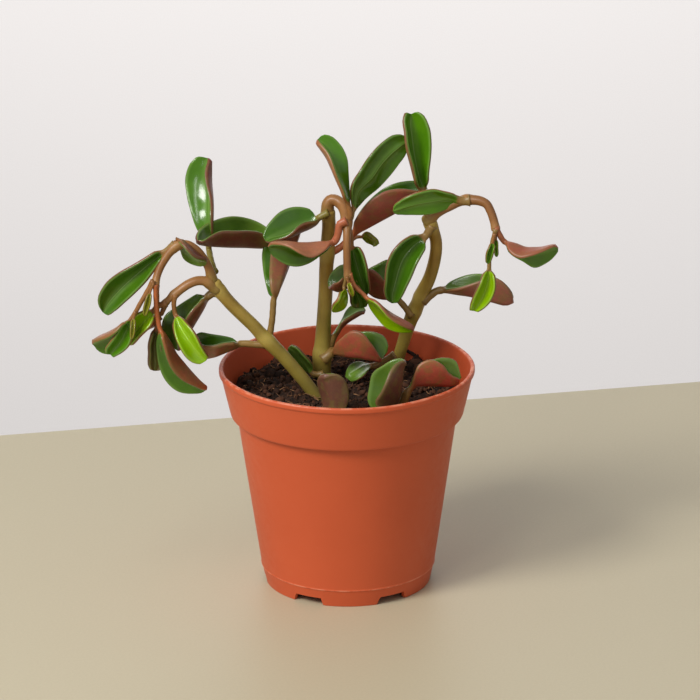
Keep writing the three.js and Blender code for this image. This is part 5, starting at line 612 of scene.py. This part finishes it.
def pot_mesh():
    profile = rounded([
        (0, 0, 0), (9.0, 0, 0.3), (9.6, 3.0, 0.4), (32.5, 3.0, 0.4), (32.9, 0, 0.3), (34.4, 0, 0.5),
        (35.9, 7.2, 0.15), (36.3, 7.5, 0.15), (36.15, 8.1, 0.2),
        (45.5, 73.4, 0.8), (47.8, 73.3, 0.55), (48.1, 74.1, 0.5),
        (51.75, 90.6, 0.5), (52.5, 91.1, 0.5), (52.5, 92.7, 0.4), (52.1, 93.2, 0.5), (51.0, 93.2, 0.5), (50.6, 92.6, 0.5),
        (47.0, 74.7, 1.2), (44.4, 72.9, 1.0), (34.9, 7.5, 1.5), (34.2, 4.6, 0.8), (0, 4.6, 0)])
    # extra rows on the long walls, so that the slow waviness of a moulded wall shows
    rows = []
    for i, (x, z) in enumerate(profile):
        rows.append((x, z))
        if i + 1 < len(profile):
            nx, nz = profile[i + 1]
            d = math.hypot(nx - x, nz - z)
            for k in range(1, int(d // 4)):
                f = k / int(d // 4)
                rows.append((x + (nx - x) * f, z + (nz - z) * f))
    n = POT_SEGMENTS
    ang = np.array([2 * math.pi * j / n for j in range(n)])
    half = math.degrees(math.asin(NOTCH_WIDTH / 2 / 34.4))
    rel = (np.degrees(ang) - NOTCH_FIRST + 30) % 60 - 30
    cut = np.clip((half - np.abs(rel)) / 1.3 + 0.5, 0, 1)
    verts = []
    for x, z in rows[1:-1]:
        r = np.full(n, float(x))
        zz = np.full(n, float(z))
        if x > 30.2 and z < NOTCH_HEIGHT:
            top = NOTCH_HEIGHT * cut
            raised = np.maximum(zz, top)
            if x > 34.2:
                r = np.maximum(r, 34.4 + 1.5 * raised / 7.2 - 0.02)
            zz = raised
        # a thin moulded rim is never quite round or level
        k = smooth((z - 60) / 33.0)
        if k > 0 and x > 46.5:
            r = r + k * (0.22 * np.cos(2 * ang + 0.7) + 0.10 * np.cos(5 * ang + 2.0) + 0.05 * np.cos(11 * ang))
            zz = zz + (0.12 * np.cos(3 * ang + 1.1) + 0.06 * np.cos(7 * ang) - 0.12) * smooth((z - 86) / 6.0)
        verts.append(np.stack([r * np.cos(ang), r * np.sin(ang), zz], 1))
    verts = np.vstack(verts + [[[0, 0, 0.0]], [[0, 0, 4.6]]])
    faces = facing_out(verts, loft_faces(len(rows) - 2, n))
    return verts, faces


def cut_drains(o):
    cutters = []
    for k in range(6):
        a = math.radians(NOTCH_FIRST + 60 * k)
        x, y = 26.0 * math.cos(a), 26.0 * math.sin(a)
        c = 40
        vs = [(x + 4.2 * math.cos(2 * math.pi * j / c), y + 4.2 * math.sin(2 * math.pi * j / c), z)
              for z in (-3.0, 9.0) for j in range(c)]
        fs = [(j, (j + 1) % c, c + (j + 1) % c, c + j) for j in range(c)]
        fs += [tuple(reversed(range(c))), tuple(range(c, 2 * c))]
        cutters.append((np.array(vs), fs))
    v, f, _ = join_meshes(cutters)
    mesh = bpy.data.meshes.new("cut")
    mesh.from_pydata([tuple(p) for p in v * MM], [], f)
    cutter = bpy.data.objects.new("cut", mesh)
    bpy.context.scene.collection.objects.link(cutter)
    mod = o.modifiers.new("holes", "BOOLEAN")
    mod.operation = "DIFFERENCE"
    mod.solver = "EXACT"
    mod.object = cutter
    bpy.context.view_layer.update()
    made = bpy.data.meshes.new_from_object(o.evaluated_get(bpy.context.evaluated_depsgraph_get()))
    o.modifiers.clear()
    if len(made.vertices) > 1000:
        o.data = made
    bpy.data.objects.remove(cutter)
    for p in o.data.polygons:
        p.use_smooth = True
    o.data.set_sharp_from_angle(angle=math.radians(38))


# ---------------------------------------------------------------- soil
def soil_height(x, y):
    return (81.6 + 1.5 * np.maximum(0, -x) / 50 + 0.8 * np.sin(x * 0.21 + 1.3) * np.cos(y * 0.17 + 0.4)
            + 0.5 * np.sin(x * 0.43 - y * 0.37))


def lumps(x, y, seed):
    rng = np.random.default_rng(seed)
    total = np.zeros_like(x)
    for scale, height, count in ((0.5, 0.34, 6), (1.0, 0.24, 8), (2.1, 0.17, 8), (3.6, 0.10, 8)):
        for _ in range(count):
            a, p, q = rng.uniform(0, 6.28, 3)
            s = scale * rng.uniform(0.7, 1.3)
            total += height * np.sin((x * math.cos(a) + y * math.sin(a)) * s + p) * np.sin((x * math.sin(a) - y * math.cos(a)) * s * 0.8 + q) / 1.6
    return total


def crumb(at, size, rng):
    g = (1 + 5 ** 0.5) / 2
    base = unit(np.array([(-1, g, 0), (1, g, 0), (-1, -g, 0), (1, -g, 0), (0, -1, g), (0, 1, g), (0, -1, -g), (0, 1, -g),
                          (g, 0, -1), (g, 0, 1), (-g, 0, -1), (-g, 0, 1)], float))
    fs = [(0, 11, 5), (0, 5, 1), (0, 1, 7), (0, 7, 10), (0, 10, 11), (1, 5, 9), (5, 11, 4), (11, 10, 2), (10, 7, 6), (7, 1, 8),
          (3, 9, 4), (3, 4, 2), (3, 2, 6), (3, 6, 8), (3, 8, 9), (4, 9, 5), (2, 4, 11), (6, 2, 10), (8, 6, 7), (9, 8, 1)]
    # one subdivision
    pts = [tuple(p) for p in base]
    seen = {}
    out = []

    def mid(a, b):
        key = (min(a, b), max(a, b))
        if key not in seen:
            seen[key] = len(pts)
            pts.append(tuple(unit(np.array(pts[a]) + np.array(pts[b]))))
        return seen[key]
    for a, b, c in fs:
        ab, bc, ca = mid(a, b), mid(b, c), mid(c, a)
        out += [(a, ab, ca), (b, bc, ab), (c, ca, bc), (ab, bc, ca)]
    v = np.array(pts)
    v = v * (1 + 0.22 * np.sin(v @ rng.normal(0, 2.2, 3) + rng.uniform(0, 6)) + 0.16 * np.sin(v @ rng.normal(0, 4.5, 3)))[:, None]
    axes = np.linalg.qr(rng.normal(size=(3, 3)))[0]
    v = (v * rng.uniform(0.55, 1.3, 3)) @ axes * size
    return v + at, facing_out(v, out)


def soil_mesh():
    rng = np.random.default_rng(7)
    n = 220
    ang = np.array([2 * math.pi * j / n for j in range(n)])
    radii = np.concatenate([[0.6], np.linspace(1.6, 46.6, 56)])
    top = []
    wall = 48.6
    for r in radii[::-1]:
        rr = r
        x, y = rr * np.cos(ang), rr * np.sin(ang)
        z = soil_height(x, y) + lumps(x, y, 3) * 1.15
        z += 1.5 * np.exp(-((x - 30) ** 2 + (y - 20) ** 2) / 50.0)
        z -= 0.7 * smooth((r - 43) / 4.0)
        top.append(np.stack([x, y, z], 1))
    side = []
    for r, z in ((34.4, 5.0), (34.9, 9.0), (40.0, 45.0), (43.9, 72.0), (46.9, 79.5)):
        side.append(np.stack([(r - 0.4) * np.cos(ang), (r - 0.4) * np.sin(ang), np.full(n, z)], 1))
    rings = side + top
    verts = np.vstack(rings + [[[0, 0, 5.0]], [[0, 0, float(soil_height(np.array([0.0]), np.array([0.0]))[0])]]])
    base = (verts, facing_out(verts, loft_faces(len(rings), n)), np.full(len(verts), 0.35), np.zeros(len(verts)))
    parts = [base]
    for i in range(1500):
        r = 46.3 * math.sqrt(rng.uniform(0, 1))
        a = rng.uniform(0, 2 * math.pi)
        x, y = r * math.cos(a), r * math.sin(a)
        size = rng.choice([0.35, 0.5, 0.75, 1.1, 1.7], p=[0.30, 0.33, 0.22, 0.11, 0.04]) * rng.uniform(0.8, 1.25)
        z = float(soil_height(np.array([x]), np.array([y]))[0] + lumps(np.array([x]), np.array([y]), 3)[0] * 1.15)
        z += 1.5 * math.exp(-((x - 30) ** 2 + (y - 20) ** 2) / 50.0)
        z += size * rng.uniform(0.05, 0.75)
        if r > 44:
            z -= 0.5
        v, f = crumb(np.array([x, y, z]), size, rng)
        parts.append((v, f, np.full(len(v), rng.uniform(0, 1)), np.ones(len(v))))
    for i in range(9):        # the loose clump by the right wall
        v, f = crumb(np.array([30 + rng.normal(0, 2.6), 21 + rng.normal(0, 2.6), 84.0 + rng.uniform(-0.6, 1.2)]), rng.uniform(1.4, 2.8), rng)
        parts.append((v, f, np.full(len(v), rng.uniform(0.1, 0.7)), np.ones(len(v))))
    for i in range(330):      # fibres
        r = 45.0 * math.sqrt(rng.uniform(0, 1))
        a = rng.uniform(0, 2 * math.pi)
        x, y = r * math.cos(a), r * math.sin(a)
        length = rng.uniform(2.5, 9.0)
        d = rng.uniform(0, 2 * math.pi)
        turn = rng.normal(0, 0.5)
        pts = []
        for k in range(4):
            px, py = x + math.cos(d + turn * k) * length * (k / 3 - 0.5), y + math.sin(d + turn * k) * length * (k / 3 - 0.5)
            if math.hypot(px, py) > 46.5:
                s = 46.5 / math.hypot(px, py)
                px, py = px * s, py * s
            h = float(soil_height(np.array([px]), np.array([py]))[0] + lumps(np.array([px]), np.array([py]), 3)[0])
            pts.append((px, py, h + rng.uniform(0.1, 1.1)))
        rad = rng.uniform(0.09, 0.24)
        v, f, _ = tube_mesh(pts, [rad, rad, rad * 0.9, rad * 0.5], 5, seed=i)
        parts.append((v, f, np.full(len(v), rng.uniform(0.5, 1.3)), np.full(len(v), 2.0)))
    return join_meshes(parts)


# ---------------------------------------------------------------- materials
class Graph:
    """Small helper to lay out shader nodes."""

    def __init__(self, name):
        self.material = bpy.data.materials.new(name)
        self.material.use_nodes = True
        self.tree = self.material.node_tree
        self.bsdf = self.tree.nodes["Principled BSDF"]

    def node(self, kind, **props):
        n = self.tree.nodes.new(kind)
        for k, v in props.items():
            setattr(n, k, v)
        return n

    def put(self, socket, value):
        if value is None:
            return
        if isinstance(value, bpy.types.NodeSocket):
            self.tree.links.new(value, socket)
        else:
            if isinstance(value, (tuple, list)) and len(value) == 3 and len(socket.default_value) == 4:
                value = (*value, 1.0)
            socket.default_value = value

    def attr(self, name):
        n = self.node("ShaderNodeAttribute", attribute_type="GEOMETRY", attribute_name=name)
        return n

    def value(self, name):
        return self.attr(name).outputs["Fac"]

    def vector(self, name):
        return self.attr(name).outputs["Vector"]

    def math(self, op, a, b=None, clamp=False):
        n = self.node("ShaderNodeMath", operation=op, use_clamp=clamp)
        self.put(n.inputs[0], a)
        if b is not None:
            self.put(n.inputs[1], b)
        return n.outputs[0]

    def span(self, x, lo, hi, a=0.0, b=1.0):
        n = self.node("ShaderNodeMapRange", interpolation_type="SMOOTHSTEP")
        self.put(n.inputs["Value"], x)
        self.put(n.inputs["From Min"], lo); self.put(n.inputs["From Max"], hi)
        self.put(n.inputs["To Min"], a); self.put(n.inputs["To Max"], b)
        return n.outputs["Result"]

    def mix(self, fac, a, b, blend="MIX"):
        n = self.node("ShaderNodeMix", data_type="RGBA", blend_type=blend)
        self.put(n.inputs["Factor"], fac)
        self.put(n.inputs[6], a)
        self.put(n.inputs[7], b)
        return n.outputs[2]

    def place(self):
        return self.node("ShaderNodeTexCoord").outputs["Object"]

    def noise(self, scale, detail=3.0, rough=0.5, vector=None, distortion=0.0):
        n = self.node("ShaderNodeTexNoise")
        self.put(n.inputs["Vector"], vector if vector is not None else self.place())
        n.inputs["Scale"].default_value = scale
        n.inputs["Detail"].default_value = detail
        n.inputs["Roughness"].default_value = rough
        n.inputs["Distortion"].default_value = distortion
        return n.outputs["Fac"]

    def bump(self, height, strength, distance):
        n = self.node("ShaderNodeBump")
        n.inputs["Strength"].default_value = strength
        n.inputs["Distance"].default_value = distance
        self.put(n.inputs["Height"], height)
        self.put(self.bsdf.inputs["Normal"], n.outputs["Normal"])


def lin(r, g, b):
    out = []
    for c in (r, g, b):
        c = c / 255.0
        out.append(c / 12.92 if c <= 0.04045 else ((c + 0.055) / 1.055) ** 2.4)
    return tuple(out)


def leaf_material(name):
    g = Graph(name)
    u = g.math("ABSOLUTE", g.value("u"))
    v = g.value("v")
    side = g.value("side")
    top, under, stalk = g.vector("top"), g.vector("under"), g.vector("stalk")
    pale = g.vector("pale")
    olive = g.value("olive")
    broad = g.noise(160, 2, 0.5)
    fine = g.noise(1400, 3, 0.6)
    # inner face: paler mottling, a paler stripe beside the midrib, a pale midrib line and a pale band inside the
    # margin
    inner = g.mix(g.span(broad, 0.25, 0.75, 0.0, 0.45), top, g.mix(1.0, top, (1.55, 1.45, 1.2), "MULTIPLY"))
    stripe = g.math("MULTIPLY", g.span(u, 0.02, 0.12, 0.0, 1.0), g.span(u, 0.16, 0.42, 1.0, 0.0))
    inner = g.mix(g.math("MULTIPLY", stripe, 0.16), inner, pale)
    rib = g.span(u, 0.015, 0.06, 1.0, 0.0)
    inner = g.mix(g.math("MULTIPLY", rib, 0.34), inner, pale)
    edge = g.math("MULTIPLY", g.span(u, 0.83, 0.93, 0.0, 1.0), g.span(u, 0.985, 1.0, 1.0, 0.4))
    inner = g.mix(g.math("MULTIPLY", edge, 0.22), inner, pale)
    # outer face: maroon mottled with brown, olive blotches, olive towards the margin and the stalk's colour at the
    # base
    speck = g.span(g.noise(900, 3, 0.65), 0.42, 0.66)
    outer = g.mix(g.math("MULTIPLY", speck, 0.35), under, g.mix(1.0, under, (1.5, 1.55, 1.25), "MULTIPLY"))
    outer = g.mix(g.math("MULTIPLY", g.span(broad, 0.3, 0.75), 0.35), outer, g.mix(1.0, under, (0.62, 0.70, 0.7), "MULTIPLY"))
    blotch = g.span(g.noise(330, 4, 0.6), 0.46, 0.62)
    outer = g.mix(g.math("MULTIPLY", blotch, g.math("MULTIPLY", olive, 0.8)), outer, lin(112, 106, 48))
    lip = g.math("MULTIPLY", g.span(u, 0.74, 0.97, 0.0, 1.0), olive)
    outer = g.mix(g.math("MULTIPLY", lip, 0.55), outer, lin(122, 112, 56))
    base = g.span(v, 0.0, 0.34, 1.0, 0.0)
    outer = g.mix(g.math("MULTIPLY", base, 0.65), outer, stalk)
    colour = g.mix(g.span(side, 0.35, 0.75), outer, inner)
    rim = g.math("MULTIPLY", g.span(u, 0.955, 1.0), g.span(side, 0.15, 0.5, 0.0, 1.0))
    colour = g.mix(g.math("MULTIPLY", rim, 0.35), colour, lin(96, 44, 36))
    stem = g.span(v, -0.02, 0.10, 1.0, 0.0)
    stalk_mottled = g.mix(g.span(broad, 0.3, 0.7, 0.0, 0.4), stalk, g.mix(1.0, stalk, (0.7, 0.7, 0.7), "MULTIPLY"))
    colour = g.mix(stem, colour, stalk_mottled)
    g.put(g.bsdf.inputs["Base Color"], colour)
    rough = g.span(side, 0.35, 0.75, 0.40, 0.15)
    g.put(g.bsdf.inputs["Roughness"], g.math("ADD", rough, g.span(fine, 0.2, 0.8, -0.03, 0.07)))
    g.bsdf.inputs["Specular IOR Level"].default_value = 0.5
    g.bsdf.inputs["Subsurface Weight"].default_value = 0.10
    g.bsdf.inputs["Subsurface Radius"].default_value = (0.0012, 0.0009, 0.0003)
    g.bsdf.inputs["Subsurface Scale"].default_value = 1.0
    g.bump(g.mix(0.5, g.math("MULTIPLY", fine, 1.0), broad), 0.35, 0.00012)
    return g.material


def stem_material(name, low, high, warm):
    """Fleshy stem: low and high are its two tones, warm is the tint of nodes and scars."""
    g = Graph(name)
    broad = g.noise(70, 3, 0.5)
    fine = g.noise(700, 4, 0.6)
    tone = g.vector("tone")
    colour = g.mix(g.span(broad, 0.32, 0.68, 0.0, 0.85), low, high)
    colour = g.mix(1.0, colour, tone, "MULTIPLY")
    colour = g.mix(g.math("MULTIPLY", g.value("node"), 0.55), colour, warm)
    dots = g.span(g.noise(1500, 2, 0.5), 0.60, 0.72)
    colour = g.mix(g.math("MULTIPLY", dots, 0.22), colour, g.mix(1.0, colour, (0.45, 0.4, 0.4), "MULTIPLY"))
    g.put(g.bsdf.inputs["Base Color"], colour)
    g.put(g.bsdf.inputs["Roughness"], g.span(fine, 0.2, 0.8, 0.34, 0.5))
    g.bsdf.inputs["Subsurface Weight"].default_value = 0.10
    g.bsdf.inputs["Subsurface Radius"].default_value = (0.0015, 0.0009, 0.0003)
    g.bsdf.inputs["Subsurface Scale"].default_value = 1.0
    g.bump(fine, 0.5, 0.00015)
    return g.material


def pot_material():
    g = Graph("pot_plastic")
    broad = g.noise(18, 3, 0.5)
    fine = g.noise(2600, 3, 0.6)
    colour = g.mix(g.span(broad, 0.3, 0.7), lin(196, 84, 46), lin(203, 89, 50))
    scuff = g.span(g.noise(120, 5, 0.7), 0.63, 0.76)
    colour = g.mix(g.math("MULTIPLY", scuff, 0.10), colour, lin(214, 130, 98))
    # painted highlight: a pale broken line painted along the rim edge and along the moulding seam above the foot,
    # where these edges catch the light
    split = g.node("ShaderNodeSeparateXYZ")
    g.put(split.inputs[0], g.place())
    z = split.outputs["Z"]
    rim = g.math("MULTIPLY", g.span(z, 0.0924, 0.0930), g.span(g.noise(260, 4, 0.7), 0.42, 0.60))
    seam = g.math("MULTIPLY", g.span(z, 0.0070, 0.0074), g.span(z, 0.0076, 0.0080, 1.0, 0.0))
    seam = g.math("MULTIPLY", seam, g.span(g.noise(200, 3, 0.6), 0.40, 0.60))
    colour = g.mix(g.math("MULTIPLY", g.math("ADD", rim, seam, clamp=True), 0.55), colour, lin(232, 158, 126))
    g.put(g.bsdf.inputs["Base Color"], colour)
    g.put(g.bsdf.inputs["Roughness"], g.span(g.noise(300, 3, 0.6), 0.2, 0.8, 0.40, 0.52))
    g.bsdf.inputs["Specular IOR Level"].default_value = 0.4
    g.bump(fine, 0.25, 0.00008)
    return g.material


def soil_material():
    g = Graph("soil_peat")
    tone, kind = g.value("tone"), g.value("kind")
    n1 = g.noise(420, 5, 0.7)
    n2 = g.noise(1800, 4, 0.7)
    colour = g.mix(g.span(n1, 0.35, 0.68), lin(24, 16, 12), lin(66, 43, 30))
    colour = g.mix(g.math("MULTIPLY", g.span(n2, 0.55, 0.72), 0.5), colour, lin(118, 84, 60))
    loose = g.mix(g.span(tone, 0.0, 1.0), lin(22, 15, 11), lin(98, 62, 42))
    colour = g.mix(g.math("MULTIPLY", g.span(kind, 0.2, 1.0), 0.62), colour, loose)
    fibre = g.mix(g.span(tone, 0.5, 1.3), lin(84, 52, 34), lin(168, 124, 88))
    colour = g.mix(g.span(kind, 1.3, 1.9), colour, fibre)
    g.put(g.bsdf.inputs["Base Color"], colour)
    g.bsdf.inputs["Roughness"].default_value = 0.92
    g.bsdf.inputs["Specular IOR Level"].default_value = 0.25
    g.bump(g.mix(0.5, n1, n2), 0.9, 0.0006)
    return g.material


def plain_material(name, colour, rough):
    g = Graph(name)
    n = g.noise(900, 3, 0.6)
    g.put(g.bsdf.inputs["Base Color"], g.mix(g.span(n, 0.3, 0.7), colour, tuple(c * 0.96 for c in colour)))
    g.bsdf.inputs["Roughness"].default_value = rough
    return g.material


# ---------------------------------------------------------------- colours of each leaf
DEEP = lin(56, 94, 12)
DUSK = lin(78, 108, 36)
MID = lin(68, 114, 12)
LIGHT = lin(124, 164, 4)
MAROON = lin(120, 58, 44)
DARK_MAROON = lin(100, 50, 38)
BROWN = lin(150, 88, 54)
PINK = lin(146, 78, 56)
TAN = lin(156, 96, 68)
MUD = lin(104, 66, 50)
STALK_GREEN = lin(132, 120, 50)
STALK_OLIVE = lin(142, 112, 58)
STALK_BROWN = lin(146, 98, 50)
PALE = lin(150, 184, 96)
PALE_LIGHT = lin(186, 214, 84)
# name: (inner face, outer face, stalk, how much olive shows on the outer face)
LEAF_COLOURS = {
    "leaf_left_mid": (DUSK, DARK_MAROON, STALK_GREEN, 0.25),
    "leaf_left_arch_small": (DUSK, DARK_MAROON, STALK_BROWN, 0.3),
    "leaf_left_upright": (MID, MAROON, STALK_GREEN, 0.3),
    "leaf_centre_left_upper": (DEEP, MAROON, STALK_GREEN, 0.3),
    "leaf_left_fork_upright": (DEEP, lin(132, 80, 58), STALK_OLIVE, 0.6),
    "leaf_centre_drooping": (DEEP, TAN, lin(172, 96, 62), 0.15),
    "leaf_left_big": (DEEP, MAROON, STALK_OLIVE, 0.3),
    "leaf_left_tip_back": (MID, BROWN, STALK_BROWN, 0.5),
    "leaf_left_tip_front": (MID, BROWN, STALK_BROWN, 0.5),
    "leaf_left_lower_end": (LIGHT, BROWN, STALK_BROWN, 0.5),
    "leaf_left_lower_outer": (MID, BROWN, STALK_BROWN, 0.5),
    "leaf_left_drooping": (MID, BROWN, lin(176, 96, 50), 0.35),
    "leaf_left_drooping_back": (lin(92, 84, 40), DARK_MAROON, STALK_BROWN, 0.4),
    "leaf_left_bright": (LIGHT, MAROON, STALK_BROWN, 0.3),
    "leaf_left_under": (DUSK, MAROON, STALK_OLIVE, 0.35),
    "leaf_left_fork_low": (DEEP, lin(140, 84, 58), STALK_OLIVE, 0.6),
    "leaf_top_left": (MID, lin(146, 88, 52), STALK_BROWN, 0.4),
    "leaf_top_mid": (DEEP, MAROON, STALK_OLIVE, 0.4),
    "leaf_top_right": (MID, MAROON, STALK_OLIVE, 0.5),
    "leaf_back_big": (DEEP, lin(142, 70, 56), lin(176, 98, 56), 0.35),
    "leaf_right_top": (MID, BROWN, STALK_OLIVE, 0.4),
    "leaf_right_mid": (DEEP, MAROON, STALK_OLIVE, 0.4),
    "leaf_right_behind": (DEEP, lin(140, 74, 58), STALK_OLIVE, 0.4),
    "leaf_centre_hang_right": (DEEP, PINK, STALK_BROWN, 0.3),
    "leaf_centre_hang_mid": (DEEP, MAROON, STALK_OLIVE, 0.4),
    "leaf_centre_bright": (LIGHT, PINK, lin(176, 104, 62), 0.35),
    "leaf_centre_young": (LIGHT, BROWN, STALK_OLIVE, 0.6),
    "bud_centre": (lin(124, 130, 20), BROWN, STALK_BROWN, 0.6),
    "bud_back": (lin(110, 128, 20), lin(140, 128, 34), STALK_BROWN, 0.6),
    "bud_left_tip": (lin(112, 108, 26), lin(128, 92, 44), STALK_BROWN, 0.6),
    "bud_left_front": (lin(118, 112, 26), lin(128, 96, 44), STALK_BROWN, 0.6),
    "bud_right_long": (MID, lin(142, 92, 48), STALK_BROWN, 0.5),
    "bud_right_small": (MID, lin(120, 100, 40), STALK_BROWN, 0.5),
    "leaf_right_fork": (DUSK, lin(142, 80, 66), STALK_OLIVE, 0.45),
    "leaf_right_bright": (LIGHT, MAROON, STALK_OLIVE, 0.3),
    "leaf_right_end": (MID, PINK, lin(156, 92, 56), 0.25),
    "leaf_soil_right": (DUSK, lin(174, 80, 60), STALK_OLIVE, 0.55),
    "leaf_soil_centre": (DUSK, lin(172, 80, 60), STALK_OLIVE, 0.5),
    "leaf_soil_front_left": (DUSK, MUD, STALK_OLIVE, 0.5),
    "leaf_soil_front_mid": (DUSK, lin(108, 70, 54), STALK_OLIVE, 0.6),
    "leaf_soil_low": (DUSK, MAROON, STALK_OLIVE, 0.4),
    "leaf_soil_left_behind": (DUSK, MUD, STALK_OLIVE, 0.4),
    "leaf_centre_low_behind": (DUSK, MAROON, STALK_OLIVE, 0.5),
    "leaf_centre_back_left": (DUSK, MAROON, STALK_OLIVE, 0.4),
}
YOUNG = ("bright", "young", "bud", "lower_end")

# ---------------------------------------------------------------- build
leaf_mat = leaf_material("leaf_flesh")
stem_mat = stem_material("stem_flesh", lin(146, 126, 52), lin(166, 148, 66), lin(190, 168, 84))
branch_mat = stem_material("branch_flesh", lin(134, 88, 46), lin(158, 110, 60), lin(182, 146, 84))
pot_mat = pot_material()
soil_mat = soil_material()


def keep(o, node):
    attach(o, "root")
    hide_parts(node)
    return o


v, f = pot_mesh()
pot = make_object("pot_shell", v, f, pot_mat)
cut_drains(pot)
keep(pot, "pot")

v, f, (tone, kind) = soil_mesh()
soil = make_object("soil_fill", v, f, soil_mat, {"tone": tone, "kind": kind})
keep(soil, "soil")
# a dark twig that stands in the soil and leans towards the back wall
v, f, along = tube_mesh(np.array([(33.0, 31.5, 80.5), (29.5, 35.0, 84.0), (25.0, 38.0, 86.0), (20.5, 39.5, 86.6)]),
                        np.array([0.75, 0.8, 0.7, 0.55]), 12, dome_start=True, dome_end=True)
twig = make_object("soil_twig", v, f, soil_mat, {"tone": np.full(len(v), 0.12), "kind": np.full(len(v), 1.0)})
keep(twig, "soil")

stem_points = {s[0]: np.array(s[1], float) for s in STEMS}
joints = [np.array(L[3][0], float) for L in LEAVES] + [p[0, :3] for p in stem_points.values()]


def swelling(name, amount, spread):
    """The stem swells where leaves and side shoots leave it."""
    p = stem_points[name]
    line = hermite(chord(p), p[:, :3], np.linspace(0, chord(p)[-1], 160))
    near = []
    for j in joints:
        d = np.linalg.norm(line - j, axis=1)
        if d.min() < 4.5 and d.argmin() > 2:
            near.append(line[d.argmin()])

    def bump(c):
        out = np.ones(len(c))
        for q in near:
            d = np.linalg.norm(c - q, axis=1)
            out = np.maximum(out, 1 + amount * np.exp(-(d / spread) ** 2))
        return out
    return near, bump


for name, p in stem_points.items():
    main = name.startswith("stem")
    near, bump = swelling(name, 0.12 if main else 0.16, 2.4 if main else 1.6)
    pts, radii = p[:, :3], p[:, 3] * (1.0 if main else 1.08)
    if not main:      # a side shoot starts inside its stem, with a swollen foot
        pts = np.vstack([pts[:1] - unit(pts[1] - pts[0]) * 2.2, pts])
        radii = np.concatenate([[radii[0] * 1.12], [radii[0] * 1.06], radii[1:]])
    v, f, along = tube_mesh(pts, radii, 32, dome_start=True, dome_end=True, bump=bump, seed=len(name))
    node = np.zeros(len(v))
    for q in near:
        d = np.linalg.norm(v - q, axis=1)
        node = np.maximum(node, np.exp(-((d - p[:, 3].mean()) / 1.3) ** 2) if main else np.exp(-(d / 2.2) ** 2))
    z = v[:, 2]
    high = smooth((z - 95) / 45.0)[:, None] if main else np.zeros((len(v), 1))
    tone = np.array([1.0, 1.0, 1.0]) * (1 - high) + np.array([1.0, 0.80, 0.70]) * high
    low = smooth((96 - z) / 12.0)[:, None]
    tone = tone * (1 - 0.35 * low) if main else tone
    if not main:      # the foot takes the stem's own olive
        foot = smooth((9.0 - along) / 8.0)[:, None]
        tone = tone * (1 - foot) + np.array([0.92, 1.4, 1.1]) * foot
    o = make_object(name + "_skin", v, f, stem_mat if main else branch_mat, {"tone": tone, "node": node})
    keep(o, name)

for i, (name, r, th, P, K, A, B) in enumerate(LEAVES):
    v, f, u, side, vv = leaf_mesh(name, r, th, P, K, A, B, i + 11)
    top, under, stalk, olive = LEAF_COLOURS.get(name, (DEEP, MAROON, STALK_GREEN, 0.4))
    young = any(k in name for k in YOUNG)
    pale = PALE_LIGHT if young else PALE
    rng = np.random.default_rng(100 + i)
    shade = rng.uniform(0.92, 1.10)
    n = len(v)
    o = make_object(name + "_blade", v, f, leaf_mat, {
        "u": u, "v": vv, "side": side, "olive": np.full(n, olive),
        "top": np.tile(np.array(top) * shade, (n, 1)), "under": np.tile(np.array(under) * shade, (n, 1)),
        "stalk": np.tile(stalk, (n, 1)), "pale": np.tile(pale, (n, 1))})
    keep(o, name)

# ---------------------------------------------------------------- floor, backdrop and light
def plane(name, points, material):
    mesh = bpy.data.meshes.new(name)
    mesh.from_pydata(points, [], [tuple(range(len(points)))])
    mesh.materials.append(material)
    o = bpy.data.objects.new(name, mesh)
    bpy.context.scene.collection.objects.link(o)
    return o


floor_mat = plain_material("floor_paint", lin(190, 180, 152), 0.5)
wall_mat = plain_material("backdrop_paper", lin(226, 222, 220), 0.9)
# The table's back edge runs slightly away to the right; the wall is well behind it.
EDGE_Y, EDGE_SLOPE = 0.2027, 0.206
plane("floor", [(-5, -5, 0), (5, -5, 0), (5, EDGE_Y + 5 * EDGE_SLOPE, 0), (-5, EDGE_Y - 5 * EDGE_SLOPE, 0)], floor_mat)
plane("backdrop", [(-8, 2.9, -3), (8, 2.9, -3), (8, 2.9, 5), (-8, 2.9, 5)], wall_mat)


def area(name, at, to, size, power, colour=(1, 1, 1)):
    data = bpy.data.lights.new(name, "AREA")
    data.shape = "RECTANGLE"
    data.size, data.size_y = size
    data.energy = power
    data.color = colour
    o = bpy.data.objects.new(name, data)
    bpy.context.scene.collection.objects.link(o)
    o.location = at
    o.rotation_euler = (Vector(to) - Vector(at)).to_track_quat("-Z", "Y").to_euler()
    return o


area("key", (-1.10, -0.92, 1.35), (0, 0, 0.1), (0.6, 0.6), KEY, (1.0, 0.98, 0.95))
area("strip", (-0.45, -1.0, 1.3), (0, 0, 0.12), (0.10, 1.5), STRIP, (1.0, 0.99, 0.97))
area("fill", (1.4, -1.6, 0.9), (0, 0, 0.1), (1.6, 1.2), FILL, (0.97, 0.98, 1.0))
area("wash", (0.0, 1.3, 1.0), (0, 2.9, 0.2), (2.5, 1.5), WASH)
world = bpy.data.worlds.new("studio")
world.use_nodes = True
world.node_tree.nodes["Background"].inputs["Color"].default_value = (0.98, 0.98, 1.0, 1)
world.node_tree.nodes["Background"].inputs["Strength"].default_value = AMBIENT
bpy.context.scene.world = world
bpy.context.scene.view_settings.view_transform = "Standard"
